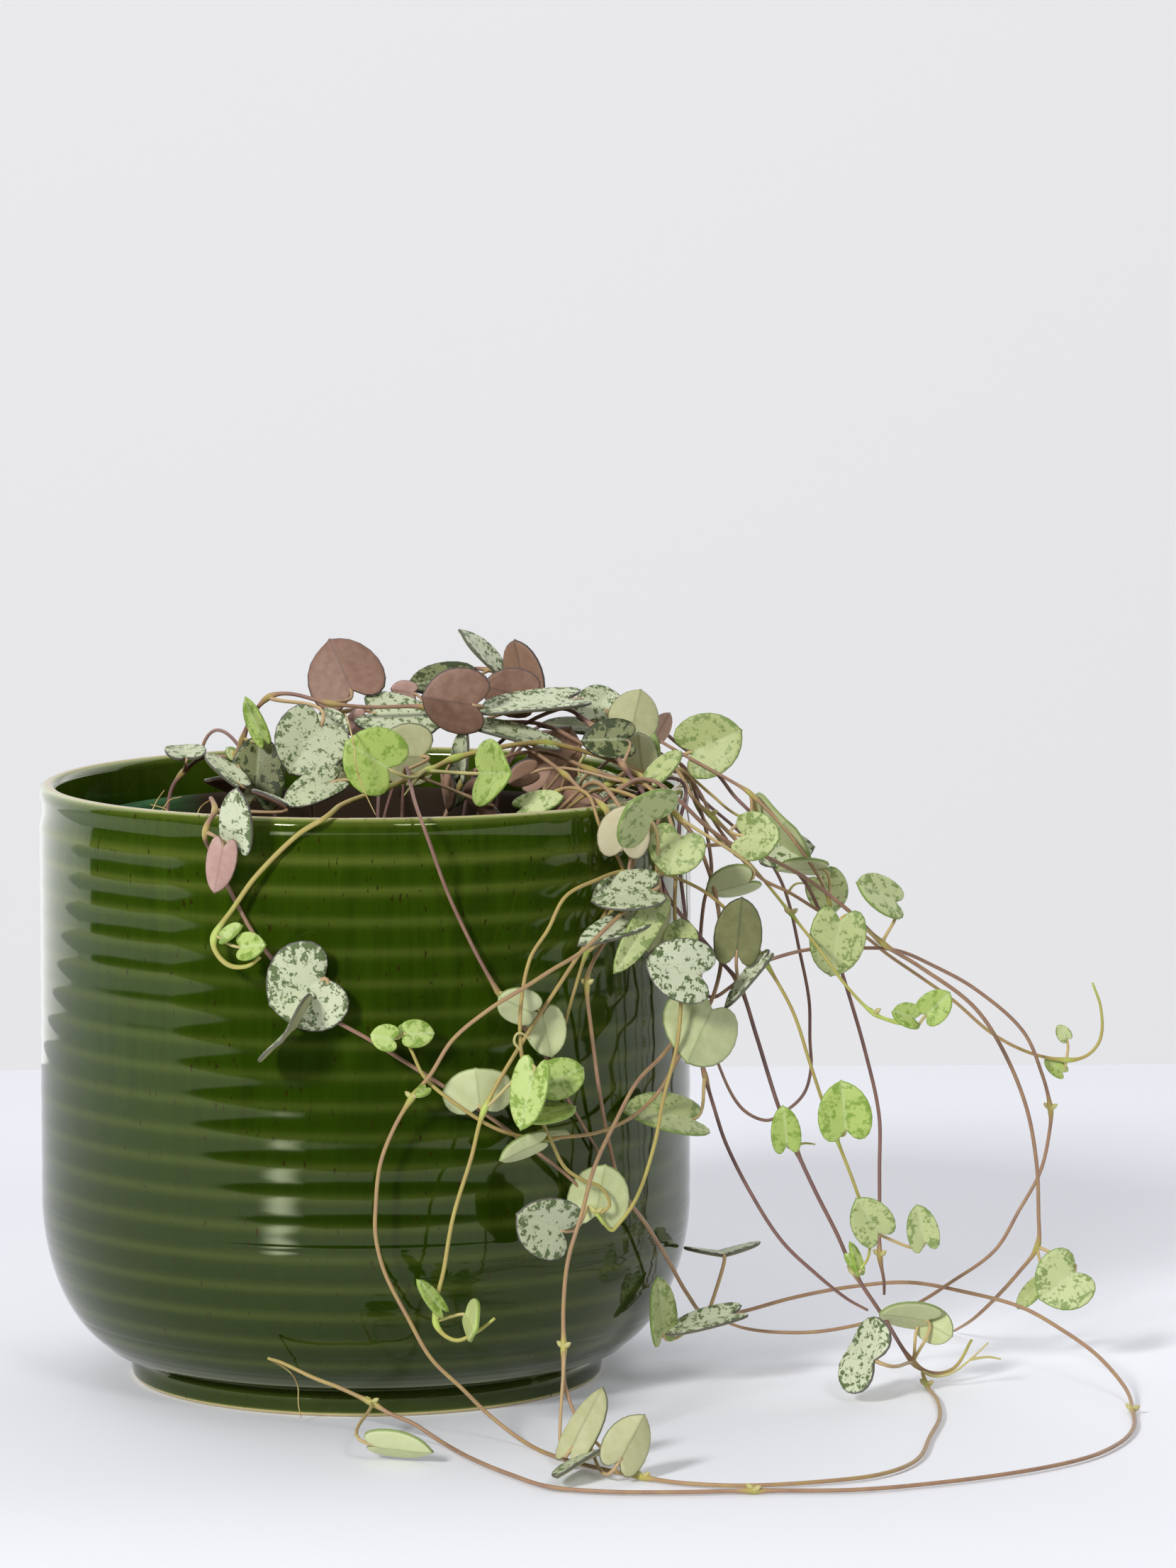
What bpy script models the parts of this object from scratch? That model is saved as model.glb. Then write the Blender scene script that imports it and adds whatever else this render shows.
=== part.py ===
"""A string of hearts, Ceropegia woodii, in a ribbed and glazed stoneware pot.

Metres, +Z up. The origin is the middle of the pot's flat underside, and the side that the
plant trails over most is +X. Routes and leaves are given in millimetres.
"""
import math
import random

import bmesh
import bpy
from mathutils import Matrix, Vector
from mathutils.geometry import interpolate_bezier

MM = 0.001
GAP = 0.3  # between pieces that rest on each other

# The glazed pot
POT_RADIUS = 75
POT_HEIGHT = 137.7
LIP_RADIUS = 72.8  # at the middle of the rounded lip
LIP_ROUNDING = 2.1
NECK = (74.1, 132)  # (radius, height) of the outside, between the lip and the top rib
WALL = 4.6
WALL_TOP = 128  # the inside is straight up to here
FLOOR_TOP = 11
INNER_CORNER = [(50, 11), (63, 23), (69, 49)]  # (radius, height), from the floor up the wall
FOOT_HEIGHT = 6.5
FOOT = [(54.6, 6.5), (54.4, 0.8), (53.6, 0)]  # (radius, height), down its outer side
CORNER_RISE = 36  # the wall curves in to the foot over this height
CORNER_REACH = 21  # and by this much
CORNER_SWEEP = math.radians(78)
RIB_TOP = 128.4
RIB_PITCH = 6.83  # measured along the wall
RIB_COUNT = 19
RIB_DEPTH = 0.7
VALLEY_RISE = 0.2  # each hollow is this much nearer the rib above it
POT_STEPS = 26

# The nursery pot inside it
LINER_TOP = 129
LINER_RADIUS = 62  # outside, under the rim
LINER_BASE_RADIUS = 43
LINER_WALL = 1.2
LINER_RIM = (2.2, 4)  # how far the rim stands out, and its height
LINER_STEPS = 24

# The soil in the nursery pot
SOIL_TOP = 121
SOIL_CLEARANCE = 0.5  # to the nursery pot's wall
SOIL_HOLE_DEPTH = 11
HOLE_CLEARANCE = 0.45
HOLE_SIDES = 6

# Stems and leaves
STEM_SIDES = 4
STEM_RISE = 3  # a stem is straight to this far above the soil
SHOOT_TAPER = 0.9  # a side shoot's thickness, as a share of its stem's
SAMPLES = 8  # along the smooth curve between two points of a route
STRIDE = 34  # furthest apart two points on a stem may be
BEND = math.radians(28)  # a stem gets a point sooner where it turns this much
PETIOLE_RADIUS = 0.42
PETIOLE_TILT = math.radians(20)  # keeps its edges off the blade's fold
PETIOLE_SIDES = 4
PETIOLE_SWEEP = 0.4  # where it starts to turn into the blade's line, as a share of its length
PETIOLE_SINK = 0.9  # into the blade
SHORT_PETIOLE = 7  # up to this length it is straight
BLADE_THICKNESS = 1.0
BLADE_FOLD = math.radians(9)
# Half a blade from the notch to the tip: across as a share of half the width, along as a share
# of the length from notch to tip
HALF_HEART = [(0, 0), (0.45, -0.2), (0.97, 0.04), (0.9, 0.5), (0, 1)]
SMALL_HALF_HEART = [(0, 0), (0.6, -0.18), (1, 0.2), (0, 1)]
SMALL_BLADE = 8.5  # narrower blades take the simpler outline

GLAZE = (0.055, 0.105, 0.018)
PLASTIC = (0.03, 0.12, 0.09)
EARTH = (0.035, 0.024, 0.016)
OLD_STEM = (0.33, 0.2, 0.13)

for leftover in list(bpy.data.objects):
    bpy.data.objects.remove(leftover, do_unlink=True)


def new_collection(name):
    collection = bpy.data.collections.new(name)
    bpy.context.scene.collection.children.link(collection)
    return collection


PARTS = new_collection("string_of_hearts")
CUTTERS = new_collection("cutters")


def new_object(name, mesh, collection=PARTS):
    obj = bpy.data.objects.new(name, mesh)
    collection.objects.link(obj)
    return obj


def paint(obj, colour, roughness):
    """Gives an object a material of its own."""
    material = bpy.data.materials.new(obj.name)
    material.use_nodes = True
    shader = material.node_tree.nodes["Principled BSDF"]
    shader.inputs["Base Color"].default_value = (*colour, 1)
    shader.inputs["Roughness"].default_value = roughness
    shader.inputs["Metallic"].default_value = 0
    obj.data.materials.clear()
    obj.data.materials.append(material)


def turned(name, profile, steps):
    """A solid of revolution from (radius, height) points that run down its outer side."""
    mesh = bpy.data.meshes.new(name)
    points = [(radius * MM, 0, height * MM) for radius, height in profile]
    mesh.from_pydata(points, [(i, i + 1) for i in range(len(points) - 1)], [])
    obj = new_object(name, mesh)
    screw = obj.modifiers.new("turn", "SCREW")
    screw.steps = screw.render_steps = steps
    screw.use_merge_vertices = True
    screw.merge_threshold = 0.00001
    return obj


# ---------------------------------------------------------------- the glazed pot


def wall_point(along):
    """The (radius, height) of the smooth outer wall, a distance down it from its top rib."""
    straight = RIB_TOP - CORNER_RISE - FOOT_HEIGHT
    if along <= straight:
        return POT_RADIUS, RIB_TOP - along
    travelled, sweep, step = straight, 0.0, math.radians(0.5)
    while travelled < along and sweep < CORNER_SWEEP:
        travelled += step * math.hypot(CORNER_REACH * math.sin(sweep), CORNER_RISE * math.cos(sweep))
        sweep += step
    return (
        POT_RADIUS - CORNER_REACH * (1 - math.cos(sweep)),
        FOOT_HEIGHT + CORNER_RISE * (1 - math.sin(sweep)),
    )


def pot_profile():
    inside = [(0, FLOOR_TOP), *INNER_CORNER, (POT_RADIUS - WALL, WALL_TOP)]
    lip = []
    for turn in (180, 120, 60, 0):
        across = LIP_ROUNDING * math.cos(math.radians(turn))
        up = LIP_ROUNDING * math.sin(math.radians(turn))
        lip.append((LIP_RADIUS + across, POT_HEIGHT - LIP_ROUNDING + up))
    ribs = []
    for rib in range(RIB_COUNT):
        crest = wall_point(rib * RIB_PITCH)
        valley = wall_point((rib + 0.5) * RIB_PITCH)
        ribs += [crest, (valley[0] - RIB_DEPTH, valley[1] + VALLEY_RISE)]
    return inside + lip + [NECK] + ribs[:-1] + FOOT + [(0, 0)]


pot = turned("pot", pot_profile(), POT_STEPS)
paint(pot, GLAZE, 0.12)

# ---------------------------------------------------------------- the nursery pot and its soil

liner_foot = FLOOR_TOP + GAP


def liner_radius(height):
    """The outer radius of the tapered nursery pot."""
    rise = (height - liner_foot) / (LINER_TOP - liner_foot)
    return LINER_BASE_RADIUS + (LINER_RADIUS - LINER_BASE_RADIUS) * rise


rim_out, rim_drop = LINER_RIM
liner_floor = liner_foot + LINER_WALL
liner = turned(
    "nursery_pot",
    [
        (0, liner_floor),
        (liner_radius(liner_floor) - LINER_WALL, liner_floor),
        (liner_radius(LINER_TOP) - LINER_WALL, LINER_TOP),
        (LINER_RADIUS + rim_out, LINER_TOP),
        (LINER_RADIUS + rim_out, LINER_TOP - rim_drop),
        (liner_radius(LINER_TOP - rim_drop), LINER_TOP - rim_drop),
        (LINER_BASE_RADIUS, liner_foot),
        (0, liner_foot),
    ],
    LINER_STEPS,
)
paint(liner, PLASTIC, 0.45)

soil_foot = liner_floor + GAP
soil_inset = LINER_WALL + SOIL_CLEARANCE
soil = turned(
    "soil",
    [
        (0, SOIL_TOP),
        (liner_radius(SOIL_TOP) - soil_inset, SOIL_TOP),
        (liner_radius(soil_foot) - soil_inset, soil_foot),
        (0, soil_foot),
    ],
    LINER_STEPS,
)
paint(soil, EARTH, 0.95)


def soil_hole(name, place, radius):
    """Cuts a plain hole in the soil, for a stem to stand in."""
    cutter_mesh = bpy.data.meshes.new(name + "_hole")
    shape = bmesh.new()
    bmesh.ops.create_cone(
        shape, cap_ends=True, segments=HOLE_SIDES, radius1=radius * MM, radius2=radius * MM,
        depth=2 * SOIL_HOLE_DEPTH * MM,
    )
    bmesh.ops.translate(shape, verts=shape.verts, vec=Vector((*place, SOIL_TOP)) * MM)
    shape.to_mesh(cutter_mesh)
    shape.free()
    cutter = new_object(name + "_hole", cutter_mesh, CUTTERS)
    cutter.hide_render = True
    cutter.display_type = "WIRE"
    cut = soil.modifiers.new(name, "BOOLEAN")
    cut.operation = "DIFFERENCE"
    cut.solver = "EXACT"
    cut.object = cutter


# ---------------------------------------------------------------- stems and leaves


def smooth_line(route):
    """Points along a smooth curve through a route, in metres, SAMPLES to each span."""
    knots = [Vector(point) * MM for point in route]
    before = knots[0] * 2 - knots[1]
    after = knots[-1] * 2 - knots[-2]
    ends = [before, *knots, after]
    line = []
    for a, b, c, d in zip(ends, ends[1:], ends[2:], ends[3:]):
        reach = (c - b).length / 3
        leave = b + (c - a).normalized() * reach
        arrive = c - (d - b).normalized() * reach
        line += interpolate_bezier(b, leave, arrive, c, SAMPLES + 1)[:-1]
    return line + [knots[-1]]


def thinned_line(line, fixed):
    """Keeps the ends, the points whose numbers are fixed, the bends and a point every stride."""
    kept = [line[0]]
    heading = line[1] - line[0]
    for number in range(1, len(line) - 1):
        leaving = line[number + 1] - line[number]
        bends = heading.angle(leaving) > BEND
        if number in fixed or bends or (line[number] - kept[-1]).length > STRIDE * MM:
            kept.append(line[number])
            heading = leaving
    return kept + [line[-1]]


def tube(name, points, radius, sides, collection, tilt=0):
    """A closed round bar through points, as a mesh object."""
    curve = bpy.data.curves.new(name, "CURVE")
    curve.dimensions = "3D"
    curve.bevel_depth = radius * MM
    curve.bevel_resolution = sides // 2 - 2
    curve.use_fill_caps = True
    spline = curve.splines.new("POLY")
    spline.points.add(len(points) - 1)
    for knot, point in zip(spline.points, points):
        knot.co = (*point, 1)
        knot.tilt = tilt
    bar = new_object(name + "_curve", curve, collection)
    mesh = bpy.data.meshes.new_from_object(bar.evaluated_get(bpy.context.evaluated_depsgraph_get()))
    bpy.data.objects.remove(bar, do_unlink=True)
    shape = bmesh.new()
    shape.from_mesh(mesh)
    bmesh.ops.remove_doubles(shape, verts=shape.verts, dist=0.00001)
    bmesh.ops.recalc_face_normals(shape, faces=shape.faces)
    bmesh.ops.triangulate(shape, faces=shape.faces)
    shape.to_mesh(mesh)
    shape.free()
    return new_object(name, mesh, collection)


def blade(name, base, tip, width, facing, collection):
    """A heart-shaped blade, its notch at base and its upper side turned to facing."""
    along = tip - base
    outline = HALF_HEART if width > SMALL_BLADE else SMALL_HALF_HEART
    shape = bmesh.new()
    half = [shape.verts.new((x * width * MM / 2, y * along.length, 0)) for x, y in outline]
    shape.faces.new(half)
    bmesh.ops.rotate(shape, verts=shape.verts, matrix=Matrix.Rotation(-BLADE_FOLD, 3, "Y"))
    bmesh.ops.mirror(shape, geom=shape.verts[:] + shape.faces[:], axis="X", merge_dist=0.00001)
    bmesh.ops.recalc_face_normals(shape, faces=shape.faces)
    bmesh.ops.solidify(shape, geom=shape.faces[:], thickness=BLADE_THICKNESS * MM)
    bmesh.ops.recalc_face_normals(shape, faces=shape.faces)
    bmesh.ops.translate(shape, verts=shape.verts, vec=(0, 0, -BLADE_THICKNESS * MM / 2))
    forward = along.normalized()
    across = forward.cross(Vector(facing)).normalized()
    place = Matrix((across, forward, across.cross(forward))).transposed().to_4x4()
    place.translation = base
    bmesh.ops.transform(shape, verts=shape.verts, matrix=place)
    bmesh.ops.triangulate(shape, faces=shape.faces)
    mesh = bpy.data.meshes.new(name)
    shape.to_mesh(mesh)
    shape.free()
    return new_object(name, mesh, collection)


def petiole(name, start, base, tip, collection):
    """The leaf stalk, from the middle of the stem into the blade, which it meets lengthways."""
    forward = (tip - base).normalized()
    reach = (base - start).length * PETIOLE_SWEEP
    end = base + forward * PETIOLE_SINK * MM
    line = interpolate_bezier(start, start, base - forward * reach, end, 3)
    if (base - start).length < SHORT_PETIOLE * MM:
        line = [start, end]
    return tube(name, line, PETIOLE_RADIUS, PETIOLE_SIDES, collection, PETIOLE_TILT)


def join(core, collection):
    """Fuses everything in a collection to one body and removes the collection."""
    union = core.modifiers.new("fuse", "BOOLEAN")
    union.operation = "UNION"
    union.operand_type = "COLLECTION"
    union.collection = collection
    union.solver = "EXACT"
    mesh = bpy.data.meshes.new_from_object(core.evaluated_get(bpy.context.evaluated_depsgraph_get()))
    core.modifiers.clear()
    core.data = mesh
    for obj in list(collection.objects):
        bpy.data.objects.remove(obj, do_unlink=True)
    bpy.data.collections.remove(collection)


def grow(name, radius, root, route, leaves, shoot=None):
    """One stem with its leaves, fused, standing in a hole in the soil.

    leaves are (point of the route, notch, tip, width, facing); a shoot is the point it leaves
    the route at, and its own route, whose points count on from the route's.
    """
    soil_hole(name, root, radius + HOLE_CLEARANCE)
    foot = (*root, SOIL_TOP - SOIL_HOLE_DEPTH + GAP)
    curve = smooth_line([foot, (*root, SOIL_TOP + STEM_RISE)] + route)
    line = curve[:1] + curve[SAMPLES:]  # straight where it stands in the hole
    nodes = {leaf[0] for leaf in leaves}
    if shoot:
        nodes.add(shoot[0])
    fixed = {1} | {1 + (node + 1) * SAMPLES for node in nodes}
    stem = tube(name, thinned_line(line, fixed), radius, STEM_SIDES, PARTS)
    fused = new_collection(name + "_leaves")
    places = list(route)
    if shoot:
        start, side_route = shoot
        side_nodes = {(node - len(route) + 1) * SAMPLES for node in nodes}
        side_line = thinned_line(smooth_line([route[start]] + side_route), side_nodes)
        tube(name + "_shoot", side_line, radius * SHOOT_TAPER, STEM_SIDES, fused)
        places += side_route
    for number, (point, base, tip, width, facing) in enumerate(leaves):
        start, base, tip = (Vector(place) * MM for place in (places[point], base, tip))
        label = f"{name}_leaf_{number}"
        blade(label, base, tip, width, facing, fused)
        petiole(label + "_stalk", start, base, tip, fused)
    join(stem, fused)
    paint(stem, OLD_STEM, 0.5)


# ---------------------------------------------------------------- the stems in front and on the right

# The arching stem: up on the left, across the top and down the front to a hooked tip
grow(
    "vine_01", 0.65, (-46, 8),
    [
        (-45, 8, 134), (-42, 6, 139), (-37, 2, 143), (-30, -3, 144), (-28, -5, 148), (-26, -7, 153),
        (-22, -10, 158), (-17, -12, 159), (-8, -14, 157), (1, -13, 156), (14, -13, 156),
        (23, -14, 154), (36, -21, 148), (45, -37, 143), (49, -48, 140), (53, -57, 138), (56, -55, 133),
        (60, -50, 127), (58, -55, 122), (52, -62, 113), (44, -69, 102), (35, -74, 89), (26, -79, 74),
        (23, -79, 63), (19, -84, 51), (17, -85, 40), (15, -86, 28), (19, -87, 24), (24, -88, 26),
        (28, -88, 29),
    ],
    [
        (8, (-3, -5, 159), (-8, 1, 170), 18, (0, 5, -1)),
        (4, (-23, -12, 149), (-27, -10, 158), 5.5, (-1, -1, 0)),
        (6, (-10, -28, 153), (-17, -31, 143), 17, (0, -6, 2)),
        (1, (-41, 0, 143), (-42, 9, 145), 9.7, (0, -1, 6)),
        (3, (-29, -24, 140), (-36, -18, 146), 7, (1, -1, 2)),
        (10, (25, -29, 158), (13, -29, 160), 16, (0, 6, 1)),
        (15, (57, -60, 129), (58, -62, 139), 12, (0, 6, 1)),
        (22, (25, -76, 74), (24, -79, 83), 16, (0, 6, -1)),
        (22, (37, -82, 83), (34, -83, 70), 9.5, (-2, -3, 0)),
        (26, (16, -87, 31), (11, -90, 38), 4, (2, -1, -1)),
        (26, (22, -84, 29), (24, -94, 27), 9, (3, -1, -1)),
        (3, (-25, -10, 135), (-24, -7, 149), 13, (0, -5, 1)),
        (3, (-30, -13, 137), (-36, -21, 141), 6, (0, 1, 2)),
        (13, (45, -34, 137), (55, -33, 135), 7, (0, 3, 1)),
    ],
)

# The brown stem from the left of the lip, slanting down the front
grow(
    "vine_02", 0.65, (-34, -36),
    [
        (-33, -54, 135), (-34, -63, 141), (-33, -69, 139), (-35, -74, 135), (-34, -69, 130),
        (-30, -71, 122), (-23, -74, 110), (-10, -78, 96), (1, -77, 89), (13, -75, 81), (26, -73, 72),
        (37, -68, 63), (45, -64, 56), (50, -60, 50),
    ],
    [
        (3, (-28, -76, 133), (-28, -80, 145), 9, (-2, -3, 0)),
        (3, (-31, -78, 132), (-33, -78, 122), 7, (1, 4, 0)),
        (7, (-9, -78, 103), (-21, -77, 97), 21, (0, -1, 0)),
        (7, (-16, -78, 92), (-19, -91, 91), 19, (-3, -1, 2)),
        (2, (-18, -61, 139), (-25, -58, 142), 7, (-1, 1, 3)),
        (13, (51, -62, 47), (53, -64, 59), 14, (0, 6, 1)),
        (13, (43, -75, 46), (33, -82, 51), 14.5, (0, -1, 0)),
    ],
)

# The brown stem over the middle of the lip
grow(
    "vine_03", 0.60, (8, -34),
    [
        (9, -46, 145), (10, -62, 144), (11, -74, 141), (13, -81, 136), (19, -75, 119), (29, -72, 99),
        (40, -66, 83), (45, -62, 73), (52, -56, 60),
    ],
    [
        (0, (13, -34, 147), (2, -34, 147), 15, (0, 6, 1)),
        (0, (28, -43, 137), (22, -37, 139), 11, (0, 4, 2)),
        (5, (36, -75, 95), (29, -78, 99), 9, (0, 6, 1)),
        (5, (39, -69, 93), (41, -69, 84), 9.5, (0, 6, 1)),
    ],
)

# The thick olive stem that runs left along the top and curls round its young leaves
grow(
    "vine_04", 0.80, (46, -8),
    [
        (55, -29, 140), (66, -20, 139), (60, -22, 143), (52, -22, 146), (41, -26, 149), (30, -35, 149),
        (20, -39, 147), (14, -46, 145), (4, -55, 142), (-5, -67, 140), (-9, -76, 138), (-15, -74, 134),
        (-24, -74, 125), (-29, -74, 118), (-33, -74, 112), (-33, -76, 109), (-30, -78, 106),
        (-26, -80, 106), (-23, -80, 108),
    ],
    [
        (0, (59, 1, 134), (50, 0, 135), 9.5, (0, -3, 1)),
        (7, (26, -52, 145), (32, -60, 146), 15.5, (-8, -5, 2)),
        (7, (5, -67, 148), (-4, -69, 154), 15.5, (0, -6, 1)),
        (14, (-31, -77, 112), (-27, -80, 115), 4, (0, -2, 2)),
        (14, (-27, -79, 110), (-22, -82, 111), 6.5, (0, -3, 1)),
        (1, (64, -16, 140), (66, -18, 150), 6.5, (-1, -1, 0)),
        (8, (-7, -49, 143), (-18, -53, 139), 9, (0, -3, 3)),
        (4, (40, -24, 149), (19, -22, 155), 9, (1, -1.2, 4)),
        (6, (18, -36, 142), (19, -37, 135), 6, (2, 1, 0)),
        (1, (63, -20, 142), (62, -21, 151), 8, (0, 6, 1)),
    ],
)

# The olive stem on the right, with a side shoot that hangs clear of the pot
grow(
    "vine_05", 0.60, (38, -32),
    [
        (50, -39, 139), (60, -45, 139), (63, -52, 134), (65, -54, 123), (57, -60, 124), (51, -67, 123),
        (44, -72, 120), (40, -75, 113), (36, -78, 107), (34, -79, 97), (34, -79, 87), (36, -77, 77),
        (38, -75, 72), (41, -72, 65), (44, -69, 59), (48, -68, 56), (52, -66, 54), (54, -65, 50),
        (52, -65, 48),
    ],
    [
        (3, (63, -65, 136), (58, -73, 141), 17, (-1, -3, 1)),
        (3, (70, -55, 131), (67, -58, 123), 13, (0, -3, 1)),
        (3, (63, -64, 120), (50, -66, 118), 13, (0, -3, 4)),
        (12, (40, -76, 79), (48, -72, 82), 9.5, (0, -5, 2)),
        (12, (37, -79, 72), (46, -73, 73), 7.5, (0, -2, 4)),
        (26, (108, -44, 63), (107, -44, 74), 12.4, (0, -6, 1)),
        (28, (116, -36, 38), (111, -38, 46), 10, (0, -4, 1)),
        (28, (127, -32, 35), (125, -34, 44), 7.5, (0, -4, 1)),
        (22, (89, -48, 102), (80, -49, 92), 6, (-1, -0.5, 1)),
    ],
    shoot=(3, [
        (70, -50, 121), (77, -48, 117), (85, -46, 109), (90, -46, 101), (96, -44, 90), (100, -42, 78),
        (103, -40, 69), (106, -38, 61), (111, -36, 48), (114, -34, 38), (114, -34, 32), (111, -34, 28),
    ]),
)

# The inner of the two long loops on the right
grow(
    "vine_06", 0.65, (-12, 12),
    [
        (-12, 6, 142), (-6, 0, 153), (4, -3, 154), (14, -6, 154), (27, -6, 152), (40, -13, 152),
        (49, -26, 149), (55, -30, 146), (62, -31, 142), (66, -37, 141), (70, -40, 138), (77, -37, 131),
        (84, -33, 126), (91, -28, 123), (101, -23, 117), (111, -21, 109), (118, -19, 102),
        (127, -16, 96), (139, -14, 87), (146, -12, 77), (152, -10, 63), (155, -6, 49), (156, -2, 36),
        (156, 0, 28), (152, 4, 21), (147, 12, 13), (143, 20, 7), (140, 36, 1),
    ],
    [
        (1, (-7, -18, 150), (-9, -16, 156), 8, (0, -3, 1)),
        (2, (2, -7, 154), (17, -11, 151), 15, (0, -3, 4)),
        (4, (37, -12, 158), (27, -12, 161), 12, (0, 6, 1)),
        (8, (65, -35, 142), (71, -33, 148), 6, (-1, -1, 0)),
        (16, (121, -16, 111), (112, -20, 116), 11, (0, -3, 3)),
        (16, (108, -24, 108), (106, -23, 95), 13, (0, -6, 1)),
        (23, (164, -6, 23), (156, -8, 17), 15, (0, -5, 1)),
        (23, (156, -1, 19), (151, -4, 14), 4.5, (-1, -3, 0)),
        (1, (-5, -4, 140), (-10, -5, 138), 6, (0, -3, 1)),
        (2, (0, -6, 153), (-4, -5, 149), 6, (0, 6, 1)),
        (3, (11, 0, 158), (6, 0, 159), 5, (0, 6, 1)),
    ],
)

# The top stem, with the upright leaves
grow(
    "vine_07", 0.55, (4, 24),
    [
        (10, 20, 142), (21, 14, 161), (29, 12, 162), (38, 8, 160), (47, 2, 155), (55, -2, 154),
        (63, -6, 150), (72, -10, 145), (85, -14, 138), (88, -15, 136), (95, -17, 129), (101, -18, 121),
        (104, -19, 116), (106, -20, 111),
    ],
    [
        (2, (30, 6, 163), (22, 4, 172), 9, (4, -2, 4)),
        (2, (37, 4, 158), (35, 2, 170), 11, (2, 3, 0)),
        (4, (46, -19, 158), (26, -25, 156), 15, (0, -1, 4)),
        (4, (53, -4, 152), (56, 2, 159), 12, (0, -6, 1)),
        (5, (61, -12, 151), (63, -8, 159), 12, (0, 6, 1)),
        (6, (67, -2, 148), (70, 0, 153), 5, (0, 6, 1)),
        (9, (93, -9, 125), (96, -19, 130), 20, (7, 4, 5)),
        (9, (92, -11, 122), (103, -9, 123), 9, (0, -3, 2)),
        (13, (104, -16, 119), (94, -14, 119), 8, (0, 2, 3)),
        (13, (105, -5, 115), (109, -1, 107), 10, (0, -5, 1)),
        (2, (23, 8, 160), (10, 7, 159), 12, (0, -2, 3)),
        (5, (54, 0, 149), (40, 4, 150), 8, (0, -1, 3)),
    ],
)

# The dark stem that falls to the surface on the right
grow(
    "vine_08", 0.65, (22, 2),
    [
        (27, -8, 143), (44, -19, 156), (52, -21, 152), (58, -35, 145), (60, -36, 142), (63, -42, 138),
        (63, -43, 132), (65, -44, 124), (68, -45, 116), (75, -42, 107), (80, -41, 101), (84, -41, 96),
        (88, -40, 84), (93, -38, 68), (97, -36, 58), (102, -34, 47), (107, -32, 37), (111, -30, 28),
        (118, -28, 17), (125, -26, 6), (130, -24, 3), (135, -22, 4), (139, -20, 10),
    ],
    [
        (3, (59, -30, 150), (49, -30, 150), 10, (0, -4, 2)),
        (2, (41, -15, 138), (47, -11, 151), 13, (0, 6, 0)),
        (11, (83, -49, 104), (84, -51, 117), 11, (0, 6, 0)),
        (19, (115, -44, 10), (109, -36, 12), 18.5, (-7, -6, 4)),
        (19, (128, -26, 16), (117, -30, 19), 11, (0, 3, 3)),
        (19, (128, -24, 15), (134, -26, 12), 9, (0, 5, 1)),
        (14, (95, -40, 59), (94, -42, 68), 7, (0, -3, 1)),
    ],
)

# The short pale stem over the right of the lip
grow(
    "vine_09", 0.50, (40, 16),
    [
        (46, 13, 140), (61, 2, 145), (68, 0, 142), (73, -2, 140), (79, -3, 135), (85, -14, 131),
        (88, -15, 131),
    ],
    [
        (2, (75, -8, 145), (86, -10, 150), 15, (0, -6, 1)),
        (6, (85, -37, 129), (93, -43, 129), 11.4, (0, -4, 1)),
    ],
)

# The long pink stem that comes down in front to the surface
grow(
    "vine_10", 0.65, (16, -22),
    [
        (22, -24, 140), (30, -24, 145), (40, -18, 146), (51, -26, 143), (59, -34, 141), (66, -35, 139),
        (70, -39, 134), (74, -38, 129), (77, -39, 122), (79, -38, 115), (80, -37, 108), (80, -39, 100),
        (78, -42, 93), (75, -47, 89), (72, -50, 88), (66, -56, 82), (60, -63, 77), (55, -69, 69),
        (50, -81, 61), (47, -88, 52), (44, -89, 42), (43, -89, 32), (43, -91, 23), (43, -95, 16),
        (45, -98, 10), (47, -99, 6),
    ],
    [
        (6, (86, -40, 119), (77, -37, 116), 11, (0, 3, 3)),
        (4, (38, -30, 143), (32, -32, 141), 7, (0, 4, 2)),
        (14, (77, -54, 92), (71, -60, 81), 19, (0, 5, 2)),
        (22, (44, -109, 4), (51, -106, 17), 8, (2, 3, 0)),
        (25, (50, -112, 4), (40, -132, 4), 10, (0, 3, 3)),
        (25, (54, -125, 5), (59, -121, 14), 10.5, (0, 6, 1)),
        (0, (22, -23, 142), (23, -24, 152), 8, (-2, -1, 0)),
        (0, (23, -22, 140), (19, -18, 134), 6, (-1, -1, 0)),
        (3, (50, -19, 138), (59, -18, 139), 8, (0, -3, 2)),
    ],
)

# The stem that hooks back, hangs down the front and runs along the surface
grow(
    "vine_11", 0.65, (48, -16),
    [
        (58, 0, 138), (70, -12, 142), (75, -17, 135), (79, -14, 131), (83, -13, 127), (85, -18, 125),
        (81, -28, 126), (74, -35, 126), (67, -49, 123), (60, -62, 118), (53, -72, 113), (47, -76, 108),
        (41, -80, 105), (34, -83, 101), (27, -85, 97), (19, -83, 90), (14, -82, 82), (10, -82, 77),
        (6, -81, 70), (3, -81, 62), (2, -82, 53), (2, -82, 46), (4, -82, 38), (9, -82, 28),
        (14, -82, 19), (21, -82, 12), (27, -82, 6), (35, -88, 1), (43, -105, 1), (51, -115, 1),
        (59, -123, 1), (67, -129, 1), (80, -132, 1), (96, -129, 1), (110, -122, 1), (119, -108, 1),
        (124, -84, 1), (128, -63, 1), (129, -44, 1), (128, -28, 1), (127, -27, 4),
    ],
    [
        (17, (13, -83, 79), (11, -86, 78), 3, (0, -1, 1)),
    ],
)

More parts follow.
